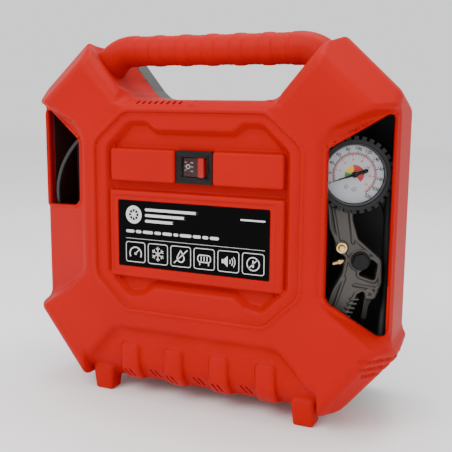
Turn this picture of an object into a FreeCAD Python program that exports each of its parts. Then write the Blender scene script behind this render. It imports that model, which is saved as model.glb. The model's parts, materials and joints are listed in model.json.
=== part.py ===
"""Suitcase air compressor: a red and grey clam-shell body on four feet, with a carry
handle, a rocker switch, a tyre gun with a gauge in the right compartment, a mains cord
in the left one, and a geared motor with a single-cylinder pump inside.

Millimetres, +Z up.  The model is drawn with its front plane at y = 0 and is moved back
by FRONT_TO_MIDDLE when it is saved, so that the origin is under its middle, on the floor.
"""
import FreeCAD, Part
import math
import os

Vector = FreeCAD.Vector
os.makedirs("parts", exist_ok=True)

# ---- driving dimensions ----
FRONT_TO_MIDDLE = 70.75    # front plane to the middle of the depth
PARTING = 77.0             # depth at which the front and rear shells meet
FOOT_X = 106.5             # middle of each foot, left and right of the centre
FOOT_FRONT = 22.0          # depth of the front feet
FOOT_REAR = 129.0          # depth of the rear feet
BACK = 143.0               # rear face of the rear shell
ARM_BACK = 104.0           # rear end of the four corner arms
BEVEL = 31.0               # depth at which the arms reach their full outline
WALL = 3.0                 # shell wall
BODY_FLOOR = 13.0          # underside of the body above the ground
GAP_FLOOR = 292.0          # bottom of the hand gap under the handle
SIDE = 180.0               # half width over the side walls
HIP = 190.0                # half width over the lower arms
TOP = 351.0                # top of the upper arms
FLANK_START = 124.8        # half width at which the slanted window panels begin
FLANK_DEPTH = 6.0          # their depth there
FLANK_SLOPE = 0.376        # depth gained per millimetre outwards
TRAY_IN = 106.0            # inner wall of both storage compartments, half width
TRAY_FLOOR = 52.0
TRAY_TOP = 286.0
TRAY_BACK = 74.0

PANEL_HALF = 105.0         # half width of the eight-sided ridge on the front
PANEL_TOP = 282.7
PANEL_BOTTOM = 91.2
PANEL_FLOOR = 10.0         # depth of the pocket inside the ridge
BAR_FACE = 2.0             # depth of the raised bar and frame in the pocket

HANDLE_Y, HANDLE_Z, HANDLE_R = 45.0, 338.0, 15.0

MOTOR_Y, MOTOR_Z = 84.0, 100.0
PINION_TEETH, GEAR_TEETH, MODULE = 18, 72, 1.0
CRANK_Z = MOTOR_Z + (PINION_TEETH + GEAR_TEETH) * MODULE / 2 + 0.1
THROW = 14.0               # crank radius, half the stroke
ROD_LENGTH = 60.0
ROD_X = 54.0               # plane of the connecting rod and the cylinder
WRIST_Z = CRANK_Z + THROW + ROD_LENGTH
BORE_R = 22.0
CYLINDER_FOOT, CYLINDER_HEAD = 192.0, 242.0

GAUGE = Vector(142.7, 26.5, 230.4)          # middle of the gauge dial
GUN_TURN = math.degrees(math.atan(FLANK_SLOPE))  # the gun lies along the window panel
DIAL_R = 25.0

HOSE_R = 4.0
CORD_R = 2.2


# ---- helpers ----
def save(name, shape):
    shape = shape.copy()
    shape.translate(Vector(0, -FRONT_TO_MIDDLE, 0))
    shape.exportStep("parts/" + name + ".step")
    print(name, "solids", len(shape.Solids), "valid", shape.isValid(),
          "volume", round(shape.Volume))


def fuse(shapes):
    return shapes[0].multiFuse(shapes[1:]).removeSplitter()


def group(shapes):
    """Separate solids kept in one node."""
    return Part.makeCompound(shapes)


def block(x0, x1, y0, y1, z0, z1):
    return Part.makeBox(x1 - x0, y1 - y0, z1 - z0, Vector(x0, y0, z0))


def rod(r, start, end):
    start, end = Vector(*start), Vector(*end)
    return Part.makeCylinder(r, (end - start).Length, start, end - start)


def tube(r_out, r_in, start, end):
    return rod(r_out, start, end).cut(rod(r_in, start, end))


def mirrored(half):
    """A symmetric outline from its right half, listed from top to bottom."""
    return half + [(-p[0],) + tuple(p[1:]) for p in reversed(half) if p[0] != 0]


def outline_wire(points, y):
    """Closed wire in the XZ plane; a point's third value is its corner radius."""
    n = len(points)
    edges = []
    last = None
    first = None
    for i in range(n):
        here = Vector(points[i][0], y, points[i][1])
        before = Vector(points[i - 1][0], y, points[i - 1][1])
        after = Vector(points[(i + 1) % n][0], y, points[(i + 1) % n][1])
        radius = points[i][2] if len(points[i]) > 2 else 0
        if radius:
            a, b = (before - here).normalize(), (after - here).normalize()
            half_angle = a.getAngle(b) / 2
            reach = radius / math.tan(half_angle)
            mid = here + (a + b).normalize() * (radius / math.sin(half_angle) - radius)
            start, end = here + a * reach, here + b * reach
        else:
            start = end = here
        if last is not None and (start - last).Length > 1e-6:
            edges.append(Part.makeLine(last, start))
        if radius:
            edges.append(Part.Arc(start, mid, end).toShape())
        if first is None:
            first = start
        last = end
    if (first - last).Length > 1e-6:
        edges.append(Part.makeLine(last, first))
    return Part.Wire(edges)


def plate(points, y0, y1):
    """An XZ outline made solid from depth y0 to depth y1."""
    return Part.Face(outline_wire(points, y0)).extrude(Vector(0, y1 - y0, 0))


def beyond(point, normal, size=900.0):
    """A large block on the outer side of a plane."""
    slab = Part.makeBox(size, size, size, Vector(-size / 2, -size / 2, 0))
    slab.Placement = FreeCAD.Placement(Vector(*point),
                                       FreeCAD.Rotation(Vector(0, 0, 1), Vector(*normal)))
    return slab


def plane_normal(a, b, c, outward):
    n = (Vector(*b) - Vector(*a)).cross(Vector(*c) - Vector(*a)).normalize()
    return n if n.dot(Vector(*outward)) > 0 else n * -1


def bevel(a, b, c, outward, inset):
    """The stock outside the plane through three points, moved inwards by the inset."""
    n = plane_normal(a, b, c, outward)
    return beyond(Vector(*a) - n * inset, n)


def both_sides(shape):
    return [shape, shape.mirror(Vector(0, 0, 0), Vector(1, 0, 0))]


# ---- clam-shell body ----
def full_outline(inset):
    half = [(0, GAP_FLOOR - inset), (76 + inset * 0.4, GAP_FLOOR - inset, 14),
            (125, TOP - inset * 1.8, 6), (131, TOP - 3 - inset * 1.4, 6),
            (SIDE - inset, 302 - inset * 0.4, 8), (SIDE - inset, 86, 10),
            (HIP - inset * 1.25, 73 + inset * 0.1, 9), (140 - inset * 0.4, BODY_FLOOR + 2 + inset, 10),
            (118, BODY_FLOOR + inset, 30), (0, BODY_FLOOR + inset)]
    return mirrored(half)


def flank_plane(x, inset):
    return FLANK_DEPTH + inset * 1.07 + (x - FLANK_START) * FLANK_SLOPE


def flank_cut(inset):
    """The stock in front of the slanted window panel, between the arms."""
    zone = [(117.5 - inset, 256 + inset * 0.4), (129 - inset * 0.3, 271 + inset), (186, 299 + inset),
            (196, 299 + inset), (196, 66 - inset), (168, 84 - inset), (133, 109 - inset),
            (117.5 - inset, 122)]
    wedge = plate(zone, -5, 45)
    start = Vector(FLANK_START, flank_plane(FLANK_START, inset), 0)
    behind = beyond(start, (-FLANK_SLOPE, 1, 0))
    return wedge.cut(behind)


def arm_bevels(inset):
    cuts = []
    upper = bevel((116, 0, 328.5), (155, 0, 294), (180, BEVEL, 302), (1, -1, 1), inset)
    cuts.append(upper)
    lower = bevel((130, 0, 29), (168, 0, 78), (188, BEVEL, 72), (1, -1, -1), inset)
    cuts.append(lower)
    gap_side = bevel((88, 0, 298), (116, 0, 328.5), (110, 9, 331), (-1, -1, 1), inset)
    cuts.append(gap_side.common(block(80, 140, -10, 60, 290, 360)))
    return cuts


def arm_tapers(inset):
    """The stock that the arms lose as they draw in towards the back."""
    upper = bevel((128, BEVEL, 350), (180, BEVEL, 302), (172.5, PARTING, 293.9), (1, 1, 1), inset)
    lower = bevel((138, BEVEL, 15), (188, BEVEL, 72), (183, PARTING, 76.4), (1, 1, -1), inset)
    return [upper, lower]


def front_body(inset):
    """Solid of the front half: the full outline less its bevels and slanted panels."""
    body = plate(full_outline(inset), inset, PARTING)
    cuts = [bevel((-10, 0, 287), (10, 0, 287), (0, 10, GAP_FLOOR), (0, -1, 1), inset)
            .common(block(-84, 84, -10, 12 + inset, 270, 300))]
    for cut in arm_bevels(inset) + arm_tapers(inset) + [flank_cut(inset)]:
        cuts += both_sides(cut)
    recess = mirrored([(0, 74 + inset), (84 + inset * 0.4, 74 + inset, 12), (100 + inset, 60, 10),
                       (120 + inset, 34, 6), (124 + inset, -5), (0, -5)])
    cuts.append(plate(recess, -5, 9 + inset))
    cuts.append(bevel((-10, 9, 30), (10, 9, 30), (0, 24, BODY_FLOOR), (0, -1, -1), inset)
                .common(block(-123 - inset, 123 + inset, -10, 30, -10, 40)))
    return body.cut(cuts).removeSplitter()


def panel_outline(grow):
    side, corner = PANEL_HALF + grow, 0.42 * grow
    return mirrored([(0, PANEL_TOP + grow), (71 + corner, PANEL_TOP + grow, 12),
                     (side, 253.5 + corner, 12), (side, 123.4 - corner, 12),
                     (72 + corner, PANEL_BOTTOM - grow, 12), (0, PANEL_BOTTOM - grow)])


def pocket_outline():
    """Pocket inside the ridge, with a step in the middle of its top and bottom edges."""
    return mirrored([(0, 267, 0), (38, 267, 4), (47, 275, 4), (68, 275, 8), (94, 250, 10),
                     (94, 127, 10), (68, 100, 8), (50, 104, 4), (40, 112.5, 4), (0, 112.5, 0)])


def window_outline_right():
    return [(123.5, 253, 5), (178.5, 287.5, 6), (179, 92, 7), (169, 90, 6), (128, 118, 6),
            (124.5, 124, 4)]


def window_outline_left():
    return [(-123.5, 253, 5), (-178.5, 287, 6), (-178.5, 184, 4), (-132, 187.5, 5),
            (-124, 194, 4)]


def vent_slot(x, y, z, length, lean):
    """A slanted slot cut into a face whose normal is near the y axis."""
    slot = block(x - 1, x + 1, y - 4, y + 4, z - length / 2, z + length / 2)
    slot.rotate(Vector(x, y, z), Vector(0, 1, 0), lean)
    return slot


def foot(x, y):
    """Tapered foot, its ground face at z = 0."""
    top = Part.Wire(Part.makePolygon([Vector(x - 13, y - 12, 27), Vector(x + 13, y - 12, 27),
                                      Vector(x + 13, y + 12, 27), Vector(x - 13, y + 12, 27),
                                      Vector(x - 13, y - 12, 27)]))
    low = Part.Wire(Part.makePolygon([Vector(x - 10, y - 9, 0), Vector(x + 10, y - 9, 0),
                                      Vector(x + 10, y + 9, 0), Vector(x - 10, y + 9, 0),
                                      Vector(x - 10, y - 9, 0)]))
    return Part.makeLoft([low, top], True)


SWITCH_X, SWITCH_Z = 0.5, 231.5            # middle of the rocker switch
LABEL_BOX = (-79.5, 75.5, 134.4, 198.0)    # left, right, bottom, top of the sunk label


def make_front_shell():
    outer = front_body(0)
    inner = front_body(WALL).fuse(plate(full_outline(WALL), PARTING - 1, PARTING + 1))
    backing = plate(panel_outline(-1), -5, PANEL_FLOOR + WALL)
    shell = outer.cut(inner.cut(backing))
    ridge = plate(panel_outline(1.6), -1.5, 1).cut(plate(panel_outline(-1.6), -2, 2))
    shell = shell.fuse(ridge).cut(plate(pocket_outline(), -5, PANEL_FLOOR))
    half_gap = 19.0
    bar_right = plate([(SWITCH_X + half_gap, 247, 3), (87, 247, 3), (87, 216, 3),
                       (SWITCH_X + half_gap, 216, 3)], BAR_FACE, PANEL_FLOOR + 1)
    bar_left = plate([(-87, 247, 3), (SWITCH_X - half_gap, 247, 3),
                      (SWITCH_X - half_gap, 216, 3), (-87, 216, 3)], BAR_FACE, PANEL_FLOOR + 1)
    frame = plate([(-89, 207.5, 3), (89, 207.5, 3), (89, 123.5, 3), (-89, 123.5, 3)],
                  BAR_FACE, PANEL_FLOOR + 1)
    shell = shell.fuse([bar_left, bar_right, frame])
    left, right, low, high = LABEL_BOX
    shell = shell.cut([block(left, right, BAR_FACE - 1, BAR_FACE + 2, low, high),
                       block(SWITCH_X - 14, SWITCH_X + 14, 0, 20, SWITCH_Z - 11, SWITCH_Z + 11)])
    ribs = [plate([(x - 10, 57, 5), (x + 10, 57, 5), (x + 10, 17), (x - 10, 17)], 3.5, 10)
            for x in (-70, -22.5, 25, 72)]
    feet = [foot(side * FOOT_X, FOOT_FRONT) for side in (-1, 1)]
    shell = shell.fuse(ribs + [f.cut(inner) for f in feet])
    slots = []
    for x in (-58, -37, -11, 11, 36, 58):
        slots += [vent_slot(x - 2.5, 11, 33, 9, -20), vent_slot(x + 2.5, 11, 33, 9, -20)]
    for i in range(10):
        slots.append(block(-73 + 6.5 * i, -71 + 6.5 * i, 14, 22, GAP_FLOOR - 6, GAP_FLOOR + 2))
    windows = [plate(window_outline_right(), -5, 38), plate(window_outline_left(), -5, 38)]
    keep_side = block(-SIDE + WALL, SIDE - WALL, -6, 40, 60, 320)
    shell = shell.cut(slots + [w.common(keep_side) for w in windows])
    return shell


def rear_body(inset):
    """Solid of the rear half: tapered sides, arms cut back, rear corners sloped."""
    arms = plate(full_outline(inset + 0.8), PARTING - 2 * inset / WALL, ARM_BACK - inset)
    core_half = [(0, 288 - inset), (130, 288 - inset, 16), (172, 262, 16),
                 (172, 70, 16), (132, 22 + inset, 16), (100, BODY_FLOOR + 1 + inset, 16),
                 (0, BODY_FLOOR + 1 + inset)]
    core_half = [(min(p[0], 172 - inset),) + tuple(p[1:]) for p in core_half]
    core = plate(mirrored(core_half), PARTING - 2 * inset / WALL, BACK - inset)
    cuts = []
    side = bevel((SIDE - 1, PARTING, 0), (SIDE - 1, PARTING, 200), (163, BACK, 200), (1, 1, 0), inset)
    hip = bevel((HIP, PARTING + 8, 60), (HIP, PARTING + 8, 90), (HIP - 20, ARM_BACK, 60), (1, 1, 0), inset)
    hip = hip.common(block(0, 260, 60, ARM_BACK + 1, 0, 110))
    for cut in [side, hip] + arm_tapers(inset):
        cuts += both_sides(cut)
    return arms.fuse(core).removeSplitter().cut(cuts).removeSplitter()


REAR_SCREWS = [(side * x, z) for side in (-1, 1) for x, z in ((150, 250), (148, 66), (90, 40), (90, 268))]


def make_rear_shell():
    shell = rear_body(0).cut(rear_body(WALL))
    feet = [foot(side * FOOT_X, FOOT_REAR) for side in (-1, 1)]
    bosses = [rod(5.5, (x, PARTING + 2, z), (x, BACK - 2, z)) for x, z in REAR_SCREWS]
    shell = shell.fuse([f.cut(rear_body(WALL)) for f in feet] + bosses)
    cuts = []
    for side in (-1, 1):
        for row in range(8):
            z = 90 + 11 * row
            cuts.append(block(side * 62 - 30, side * 62 + 30, BACK - 6, BACK + 2, z, z + 4))
    for x, z in REAR_SCREWS:
        cuts.append(rod(4.6, (x, BACK - 1.5, z), (x, BACK + 1, z)))
        cuts.append(rod(2.1, (x, BACK - 24, z), (x, BACK + 1, z)))
    return shell.cut(cuts)


def make_shell_screws():
    screws = []
    for x, z in REAR_SCREWS:
        head = rod(4.3, (x, BACK - 1.5, z), (x, BACK - 0.2, z))
        shank = rod(2.0, (x, BACK - 22, z), (x, BACK - 1.4, z))
        cross = block(x - 2, x + 2, BACK - 1, BACK, z - 0.4, z + 0.4)
        screws.append(head.fuse(shank).cut([cross, block(x - 0.4, x + 0.4, BACK - 1, BACK, z - 2, z + 2)]))
    return group(screws)


def handle_path():
    """Straight grip with both ends turned down into the arms."""
    reach, bend, turn = 86.0, 30.0, math.radians(42)
    left, right = Vector(-reach, HANDLE_Y, HANDLE_Z), Vector(reach, HANDLE_Y, HANDLE_Z)
    pieces = []
    for side, end in ((1, right), (-1, left)):
        centre = end - Vector(0, 0, bend)
        mid = centre + Vector(side * bend * math.sin(turn / 2), 0, bend * math.cos(turn / 2))
        stop = centre + Vector(side * bend * math.sin(turn), 0, bend * math.cos(turn))
        tail = stop + Vector(side * math.cos(turn), 0, -math.sin(turn)) * 22
        pieces.append([Part.Arc(end, mid, stop).toShape(), Part.makeLine(stop, tail)])
    return left, right, pieces


def make_handle():
    left, right, pieces = handle_path()
    edges = [pieces[1][1], pieces[1][0], Part.makeLine(left, right)] + pieces[0]
    spine = Part.Wire(Part.__sortEdges__(edges))
    start = pieces[1][1].Vertexes[1].Point
    circle = Part.Wire(Part.makeCircle(HANDLE_R, start, pieces[1][1].tangentAt(pieces[1][1].LastParameter)))
    bar = spine.makePipeShell([circle], True, False)
    body = front_body(0)
    bar = bar.cut(body)
    bar = max(bar.Solids, key=lambda s: s.Volume)
    grooves = []
    for i in range(10):
        x = -72 + 16 * i
        outer = tube(HANDLE_R + 2, HANDLE_R - 0.7, (x - 1, HANDLE_Y, HANDLE_Z), (x + 1, HANDLE_Y, HANDLE_Z))
        grooves.append(outer)
    return bar.cut(grooves)


def make_tray(side):
    """Storage compartment liner behind one window, open towards the window."""
    box = block(TRAY_IN, SIDE, 0, TRAY_BACK, TRAY_FLOOR, TRAY_TOP)
    hollow = block(TRAY_IN + 2, SIDE, -1, TRAY_BACK - 2, TRAY_FLOOR + 2, TRAY_TOP - 2)
    skin, inside = front_body(WALL + 0.3), front_body(WALL + 2.3)
    if side > 0:
        window = plate(window_outline_right(), -5, 34)
    else:
        window = plate(window_outline_left(), -5, 34)
        box, hollow = (s.mirror(Vector(0, 0, 0), Vector(1, 0, 0)) for s in (box, hollow))
    holes = [rod(5.2, OUTLET - Vector(9, 0, 0), OUTLET), rod(4.6, CORD_GLAND, CORD_GLAND + Vector(9, 0, 0))]
    tray = box.common(skin).cut([hollow.common(inside), window] + holes)
    return max(tray.Solids, key=lambda s: s.Volume)


# ---- label and rocker switch ----
def make_label():
    left, right, low, high = LABEL_BOX
    return block(left + 0.2, right - 0.2, BAR_FACE + 1, BAR_FACE + 2, low + 0.2, high - 0.2)


def make_switch_bezel():
    x, z = SWITCH_X, SWITCH_Z
    flange = plate([(x - 18.4, z + 15, 2), (x + 18.4, z + 15, 2), (x + 18.4, z - 15, 2),
                    (x - 18.4, z - 15, 2)], PANEL_FLOOR - 6, PANEL_FLOOR)
    body = block(x - 13.8, x + 13.8, PANEL_FLOOR - 0.5, PANEL_FLOOR + 18, z - 10.8, z + 10.8)
    well = block(x - 12.6, x + 12.6, 0, PANEL_FLOOR + 15, z - 9.2, z + 9.2)
    blades = [block(x + dx - 0.4, x + dx + 0.4, PANEL_FLOOR + 18, PANEL_FLOOR + 25, z - 3, z + 3)
              for dx in (-9, 0, 9)]
    return fuse([flange, body]).cut(well).fuse(blades)


ROCKER_TILT = 10.0                         # each way from the middle
ROCKER_AXIS = (SWITCH_X, PANEL_FLOOR - 0.5, SWITCH_Z)


def make_switch_rocker():
    """Rocker in its off position, its left half pressed in."""
    x, y, z = ROCKER_AXIS
    profile = [Vector(x - 11.4, y - 5.4, 0), Vector(x, y - 3.8, 0), Vector(x + 11.4, y - 5.4, 0),
               Vector(x + 10.4, y + 3.5, 0), Vector(x, y + 5.5, 0), Vector(x - 10.4, y + 3.5, 0)]
    face = Part.Face(Part.makePolygon(profile + [profile[0]]))
    body = face.extrude(Vector(0, 0, 17.6))
    body.translate(Vector(0, 0, z - 8.8))
    body.rotate(Vector(x, y, z), Vector(0, 0, 1), -ROCKER_TILT)
    return body


def make_switch_cover():
    """Clear splash cover over the rocker, with a thin rim."""
    x, z = SWITCH_X, SWITCH_Z
    rim = plate([(x - 15.6, z + 12, 2), (x + 15.6, z + 12, 2), (x + 15.6, z - 12, 2),
                 (x - 15.6, z - 12, 2)], PANEL_FLOOR - 7, PANEL_FLOOR - 6)
    dome = plate([(x - 14, z + 10.6, 3), (x + 14, z + 10.6, 3), (x + 14, z - 10.6, 3),
                  (x - 14, z - 10.6, 3)], PANEL_FLOOR - 11.3, PANEL_FLOOR - 6.5)
    inside = plate([(x - 13, z + 9.6, 3), (x + 13, z + 9.6, 3), (x + 13, z - 9.6, 3),
                    (x - 13, z - 9.6, 3)], PANEL_FLOOR - 10.5, PANEL_FLOOR)
    return rim.fuse(dome).cut(inside)


# ---- tyre gun with gauge ----
def gun_place(shape):
    """Moves a piece from the gun's own axes (right, depth, up) to where the gun is stowed."""
    shape.rotate(Vector(0, 0, 0), Vector(0, 0, 1), GUN_TURN)
    shape.translate(GAUGE)
    return shape


def gun_point(right, depth, up):
    turned = FreeCAD.Rotation(Vector(0, 0, 1), GUN_TURN).multVec(Vector(right, depth, up))
    return GAUGE + turned


BUTTON = (-8.5, -64.5)                     # middle of the bleed button on the gun
TRIGGER_PIVOT = (17.5, -106.0)
KNOB = (8.2, -76.0)
GUN_FRONT, GUN_BACK = 4.0, 20.0


def make_gauge_case():
    cup = rod(DIAL_R + 2, (0, -6, 0), (0, 18, 0))
    return gun_place(cup.cut([rod(DIAL_R + 0.5, (0, -7, 0), (0, 1, 0)),
                              rod(DIAL_R - 2, (0, 1, 0), (0, 15, 0)).cut(rod(4, (0, 0, 0), (0, 16, 0)))]))


def make_gauge_dial():
    dial = rod(DIAL_R, (0, 0, 0), (0, 1, 0))
    screws = [rod(1.5, (x, -0.6, -13), (x, 0, -13)) for x in (-4, 4)]
    return gun_place(fuse([dial] + screws).cut(rod(1.6, (0, -1, 0), (0, 2, 0))))


NEEDLE_REST = 199.0                        # degrees from the right, at no pressure


def make_gauge_needle():
    """Slim pointer with a broad tail, on a small hub."""
    blade = plate([(21, 0.25), (4, 1.1), (0, 1.3), (-9, 1.0), (-11, 1.9), (-13.5, 0.9), (-13.5, -0.9),
                   (-11, -1.9), (-9, -1.0), (0, -1.3), (4, -1.1), (21, -0.25)], -2.6, -2.0)
    hub = rod(2.6, (0, -3.2, 0), (0, -1.4, 0)).fuse(rod(1.5, (0, -2, 0), (0, 0.9, 0)))
    needle = blade.fuse(hub)
    needle.rotate(Vector(0, 0, 0), Vector(0, 1, 0), -NEEDLE_REST)
    return gun_place(needle)


def make_gauge_lens():
    return gun_place(rod(DIAL_R + 0.4, (0, -5.6, 0), (0, -4.4, 0)))


def make_gauge_boot():
    """Rubber bumper round the gauge, with blocks all round like a tyre."""
    ring = tube(DIAL_R + 5, DIAL_R + 2, (0, -7.5, 0), (0, 17, 0))
    blocks = []
    count = 30
    for i in range(count):
        lug = block(DIAL_R + 4.5, DIAL_R + 8, -6.5, 10, -2, 2)
        lug.rotate(Vector(0, 0, 0), Vector(0, 1, 0), 360.0 * (i + 0.5) / count)
        blocks.append(lug)
    neck = block(-23.5, 1.5, 3, 21, -40, -20)
    return gun_place(fuse([ring] + blocks).cut(neck))


def make_gun_body():
    casting = plate([(-23, -22), (0.5, -22), (1, -40, 3), (6, -57, 5), (27.5, -75, 6),
                     (28, -96, 5), (22.5, -111, 4), (13.5, -111, 2), (12.5, -103, 2), (6.5, -107, 2),
                     (-1.5, -126, 3), (-14.5, -133, 3), (-22.5, -123, 3), (-15.5, -103, 5), (-7.5, -88, 6),
                     (-4.5, -73, 4), (-13.5, -68, 5), (-14.5, -60, 4), (-20, -48, 3)], GUN_FRONT, GUN_BACK)
    hole = plate([(17.5, -74, 2), (23.5, -79, 2), (21.5, -94, 2), (5.5, -88.5, 2), (10.5, -85, 1)], 0, 25)
    case_space = rod(DIAL_R + 2, (0, -7, 0), (0, 18.5, 0))
    slot = plate([(11.5, -100.5, 0), (31, -100.5, 0), (31, -117, 0), (11.5, -117, 0)], 7.8, 16.2)
    pin = rod(1.5, (TRIGGER_PIVOT[0], 0, TRIGGER_PIVOT[1]), (TRIGGER_PIVOT[0], 25, TRIGGER_PIVOT[1]))
    button = rod(3.6, (BUTTON[0], 0, BUTTON[1]), (BUTTON[0], 12, BUTTON[1]))
    knob = rod(4, (KNOB[0], 0, KNOB[1]), (KNOB[0], 10, KNOB[1]))
    ribs = []
    for i in range(5):
        x, z = 2.2 - 1.7 * i, -109.5 - 4.0 * i
        ribs.append(block(x - 4.2, x + 4.2, GUN_FRONT - 0.8, GUN_BACK - 0.6, z - 1.0, z + 1.0))
    return gun_place(casting.cut([hole, case_space, slot, pin, button, knob]).fuse(ribs).removeSplitter())


def make_gun_trigger():
    """Squeeze lever on a pin at the foot of the loop."""
    px, pz = TRIGGER_PIVOT
    lever = plate([(px - 3.5, pz + 4, 1.5), (px + 3.5, pz + 4, 1.5), (px + 3.5, pz - 4, 1),
                   (px - 0.5, pz - 12, 1), (px - 2, pz - 24, 1.5), (px - 6.5, pz - 24, 1.5),
                   (px - 5, pz - 12, 1)], 8.1, 15.9)
    return gun_place(lever.cut(rod(1.55, (px, 0, pz), (px, 25, pz))))


def make_trigger_pin():
    px, pz = TRIGGER_PIVOT
    return gun_place(rod(1.5, (px, 3.4, pz), (px, 20.6, pz)))


def make_bleed_collar():
    x, z = BUTTON
    ring = tube(4.8, 2.8, (x, GUN_FRONT - 3, z), (x, GUN_FRONT, z))
    sleeve = tube(3.6, 2.8, (x, GUN_FRONT - 1, z), (x, 11.5, z))
    return gun_place(fuse([ring, sleeve]))


def make_bleed_button():
    x, z = BUTTON
    return gun_place(rod(2.5, (x, GUN_FRONT - 6.5, z), (x, 8.5, z)))


def make_gun_knob():
    x, z = KNOB
    nut = rod(7.6, (x, GUN_FRONT - 7, z), (x, GUN_FRONT - 1, z))
    hexagon = Part.Face(Part.makePolygon([Vector(x + 7.4 * math.cos(math.radians(60 * i + 15)), -3,
                                                 z + 7.4 * math.sin(math.radians(60 * i + 15)))
                                          for i in range(7)])).extrude(Vector(0, 6, 0))
    washer = rod(8.6, (x, GUN_FRONT - 1, z), (x, GUN_FRONT, z))
    stud = rod(4, (x, GUN_FRONT - 1, z), (x, 9.8, z))
    return gun_place(fuse([nut.common(hexagon), washer, stud]))


def make_gun_nipple():
    """Brass connector at the left of the casting."""
    body = rod(3.2, (-5, 12, -78), (-10.5, 12, -79.5))
    tip = rod(2.2, (-10, 12, -79.3), (-15.5, 12, -80.8))
    return gun_place(fuse([body, tip]).cut(rod(1.1, (-8.5, 12, -79), (-17.5, 12, -81.3)))
                     .cut(plate([(-7.5, -88), (-4.5, -73), (4.5, -73), (4.5, -88)], 0, 25)))


GUN_INLET = gun_point(-17.5, 12, -127.0)
INLET_AIM = gun_point(-18, 12, -139)


def make_hose_ferrule():
    a, b = GUN_INLET, INLET_AIM
    return rod(5.4, tuple(a), tuple(b)).cut(gun_place(plate([(-1.5, -126, 3), (-14.5, -133, 3),
                                                            (-22.5, -123, 3), (-10, -100)],
                                                           GUN_FRONT - 1, GUN_BACK + 1)))


OUTLET = Vector(TRAY_IN + 2, 58.0, 226.0)


def make_outlet_fitting():
    """Brass bulkhead fitting through the tray wall, from the pump pipe to the hose."""
    x, y, z = OUTLET
    flange = rod(8, (x, y, z), (x + 3, y, z))
    spigot = rod(3.6, (x + 3, y, z), (x + 5, y, z))
    inner = rod(5.2, (TRAY_IN - 12, y, z), (x, y, z))
    nut = rod(8, (TRAY_IN - 5, y, z), (TRAY_IN, y, z))
    return fuse([flange, spigot, inner, nut]).cut(rod(2, (x - 20, y, z), (x + 20, y, z)))


# ---- cords ----
def cord_tube(points, r, name):
    """Round cord along straight runs joined by tangent arcs; prints its radii and length."""
    pts = [Vector(*p) for p in points]
    edges = []
    here = pts[0]
    radii = []
    for i in range(1, len(pts) - 1):
        back, ahead = pts[i - 1] - pts[i], pts[i + 1] - pts[i]
        turn = math.pi - back.getAngle(ahead)
        reach = 0.45 * min(back.Length, ahead.Length)
        radius = reach / math.tan(turn / 2)
        radii.append(round(radius, 1))
        start = pts[i] + back.normalize() * reach
        end = pts[i] + ahead.normalize() * reach
        bisector = (start + end) * 0.5 - pts[i]
        centre = pts[i] + bisector.normalize() * (radius / math.cos(turn / 2))
        mid = centre + (pts[i] - centre).normalize() * radius
        edges.append(Part.LineSegment(here, start).toShape())
        edges.append(Part.Arc(start, mid, end).toShape())
        here = end
    edges.append(Part.LineSegment(here, pts[-1]).toShape())
    path = Part.Wire(edges)
    section = Part.Wire(Part.makeCircle(r, pts[0], pts[1] - pts[0]))
    solid = path.makePipeShell([section], True, False)
    print(name, "length", round(path.Length), "radii", radii,
          "volume ratio", round(solid.Volume / (math.pi * r * r * path.Length), 3))
    return solid


HOSE_ROUTE = [tuple(INLET_AIM), (121.5, 33.0, 80.5), (126.4, 34.6, 70.1), (135.4, 36.0, 63.0),
              (146.6, 37.0, 61.0), (157.6, 37.8, 64.6), (165.0, 38.6, 72.0), (168.2, 39.6, 82.0),
              (168.4, 42.2, 93.0), (167.6, 48.0, 103.0), (166.7, 54.4, 112.0), (166.1, 58.4, 121.0),
              (166.0, 59.8, 131.0)]
HOSE_COIL_BOX = (112.0, 170.2, 55.7, 71.9, 62.0, 262.0)
HOSE_COIL_WIDTH = 9.5

CORD_GLAND = Vector(-TRAY_IN - 2, 30.0, 266.0)
CORD_ROUTE = [(-114.0, 30.0, 266.0), (-125.0, 28.0, 262.5), (-139.0, 26.2, 252.0),
              (-152.0, 26.0, 238.0), (-162.0, 26.4, 221.0), (-167.4, 27.6, 203.0),
              (-168.4, 30.6, 185.0), (-167.4, 34.4, 167.0), (-166.5, 36.5, 151.0)]
COIL_BOX = (-169.0, -117.0, 34.0, 60.0, 58.0, 162.0)
PLUG_MIDDLE = Vector(-134.0, 60.0, 212.0)
TAIL_ROUTE = [(-122.5, 57.4, 149.0), (-124.2, 58.0, 158.0), (-127.2, 58.9, 167.5),
              (-130.8, 59.6, 176.5), (-133.4, 60.0, 184.5), (-134.0, 60.0, 192.0)]


def hank(box, width):
    """Outer shape of a coiled cord: an upright oval ring of the given width."""
    x0, x1, y0, y1, z0, z1 = box
    half = (x1 - x0) / 2
    outer = plate([(x0, z0, half - 1), (x0, z1, half - 1), (x1, z1, half - 1), (x1, z0, half - 1)], y0, y1)
    x0, x1, z0, z1, half = x0 + width, x1 - width, z0 + width, z1 - width, half - width
    return outer.cut(plate([(x0, z0, half - 1), (x0, z1, half - 1), (x1, z1, half - 1),
                            (x1, z0, half - 1)], y0 - 1, y1 + 1))


def make_cord_gland():
    x, y, z = CORD_GLAND
    collar = rod(6, (x, y, z), (x - 6, y, z))
    spigot = rod(4.6, (x, y, z), (x + 10, y, z))
    return fuse([collar, spigot]).cut(rod(CORD_R, (x - 7, y, z), (x + 11, y, z)))


def make_cord_plug():
    """Slim two-pin plug, its pins up."""
    c = PLUG_MIDDLE
    body = plate([(c.x - 7, c.z - 20, 3), (c.x - 15, c.z + 14, 3), (c.x + 15, c.z + 14, 3),
                  (c.x + 7, c.z - 20, 3)], c.y - 6.5, c.y + 6.5)
    return body


def make_plug_pins():
    c = PLUG_MIDDLE
    return group([rod(2, (c.x + dx, c.y, c.z + 14), (c.x + dx, c.y, c.z + 33)) for dx in (-9.5, 9.5)])


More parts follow.
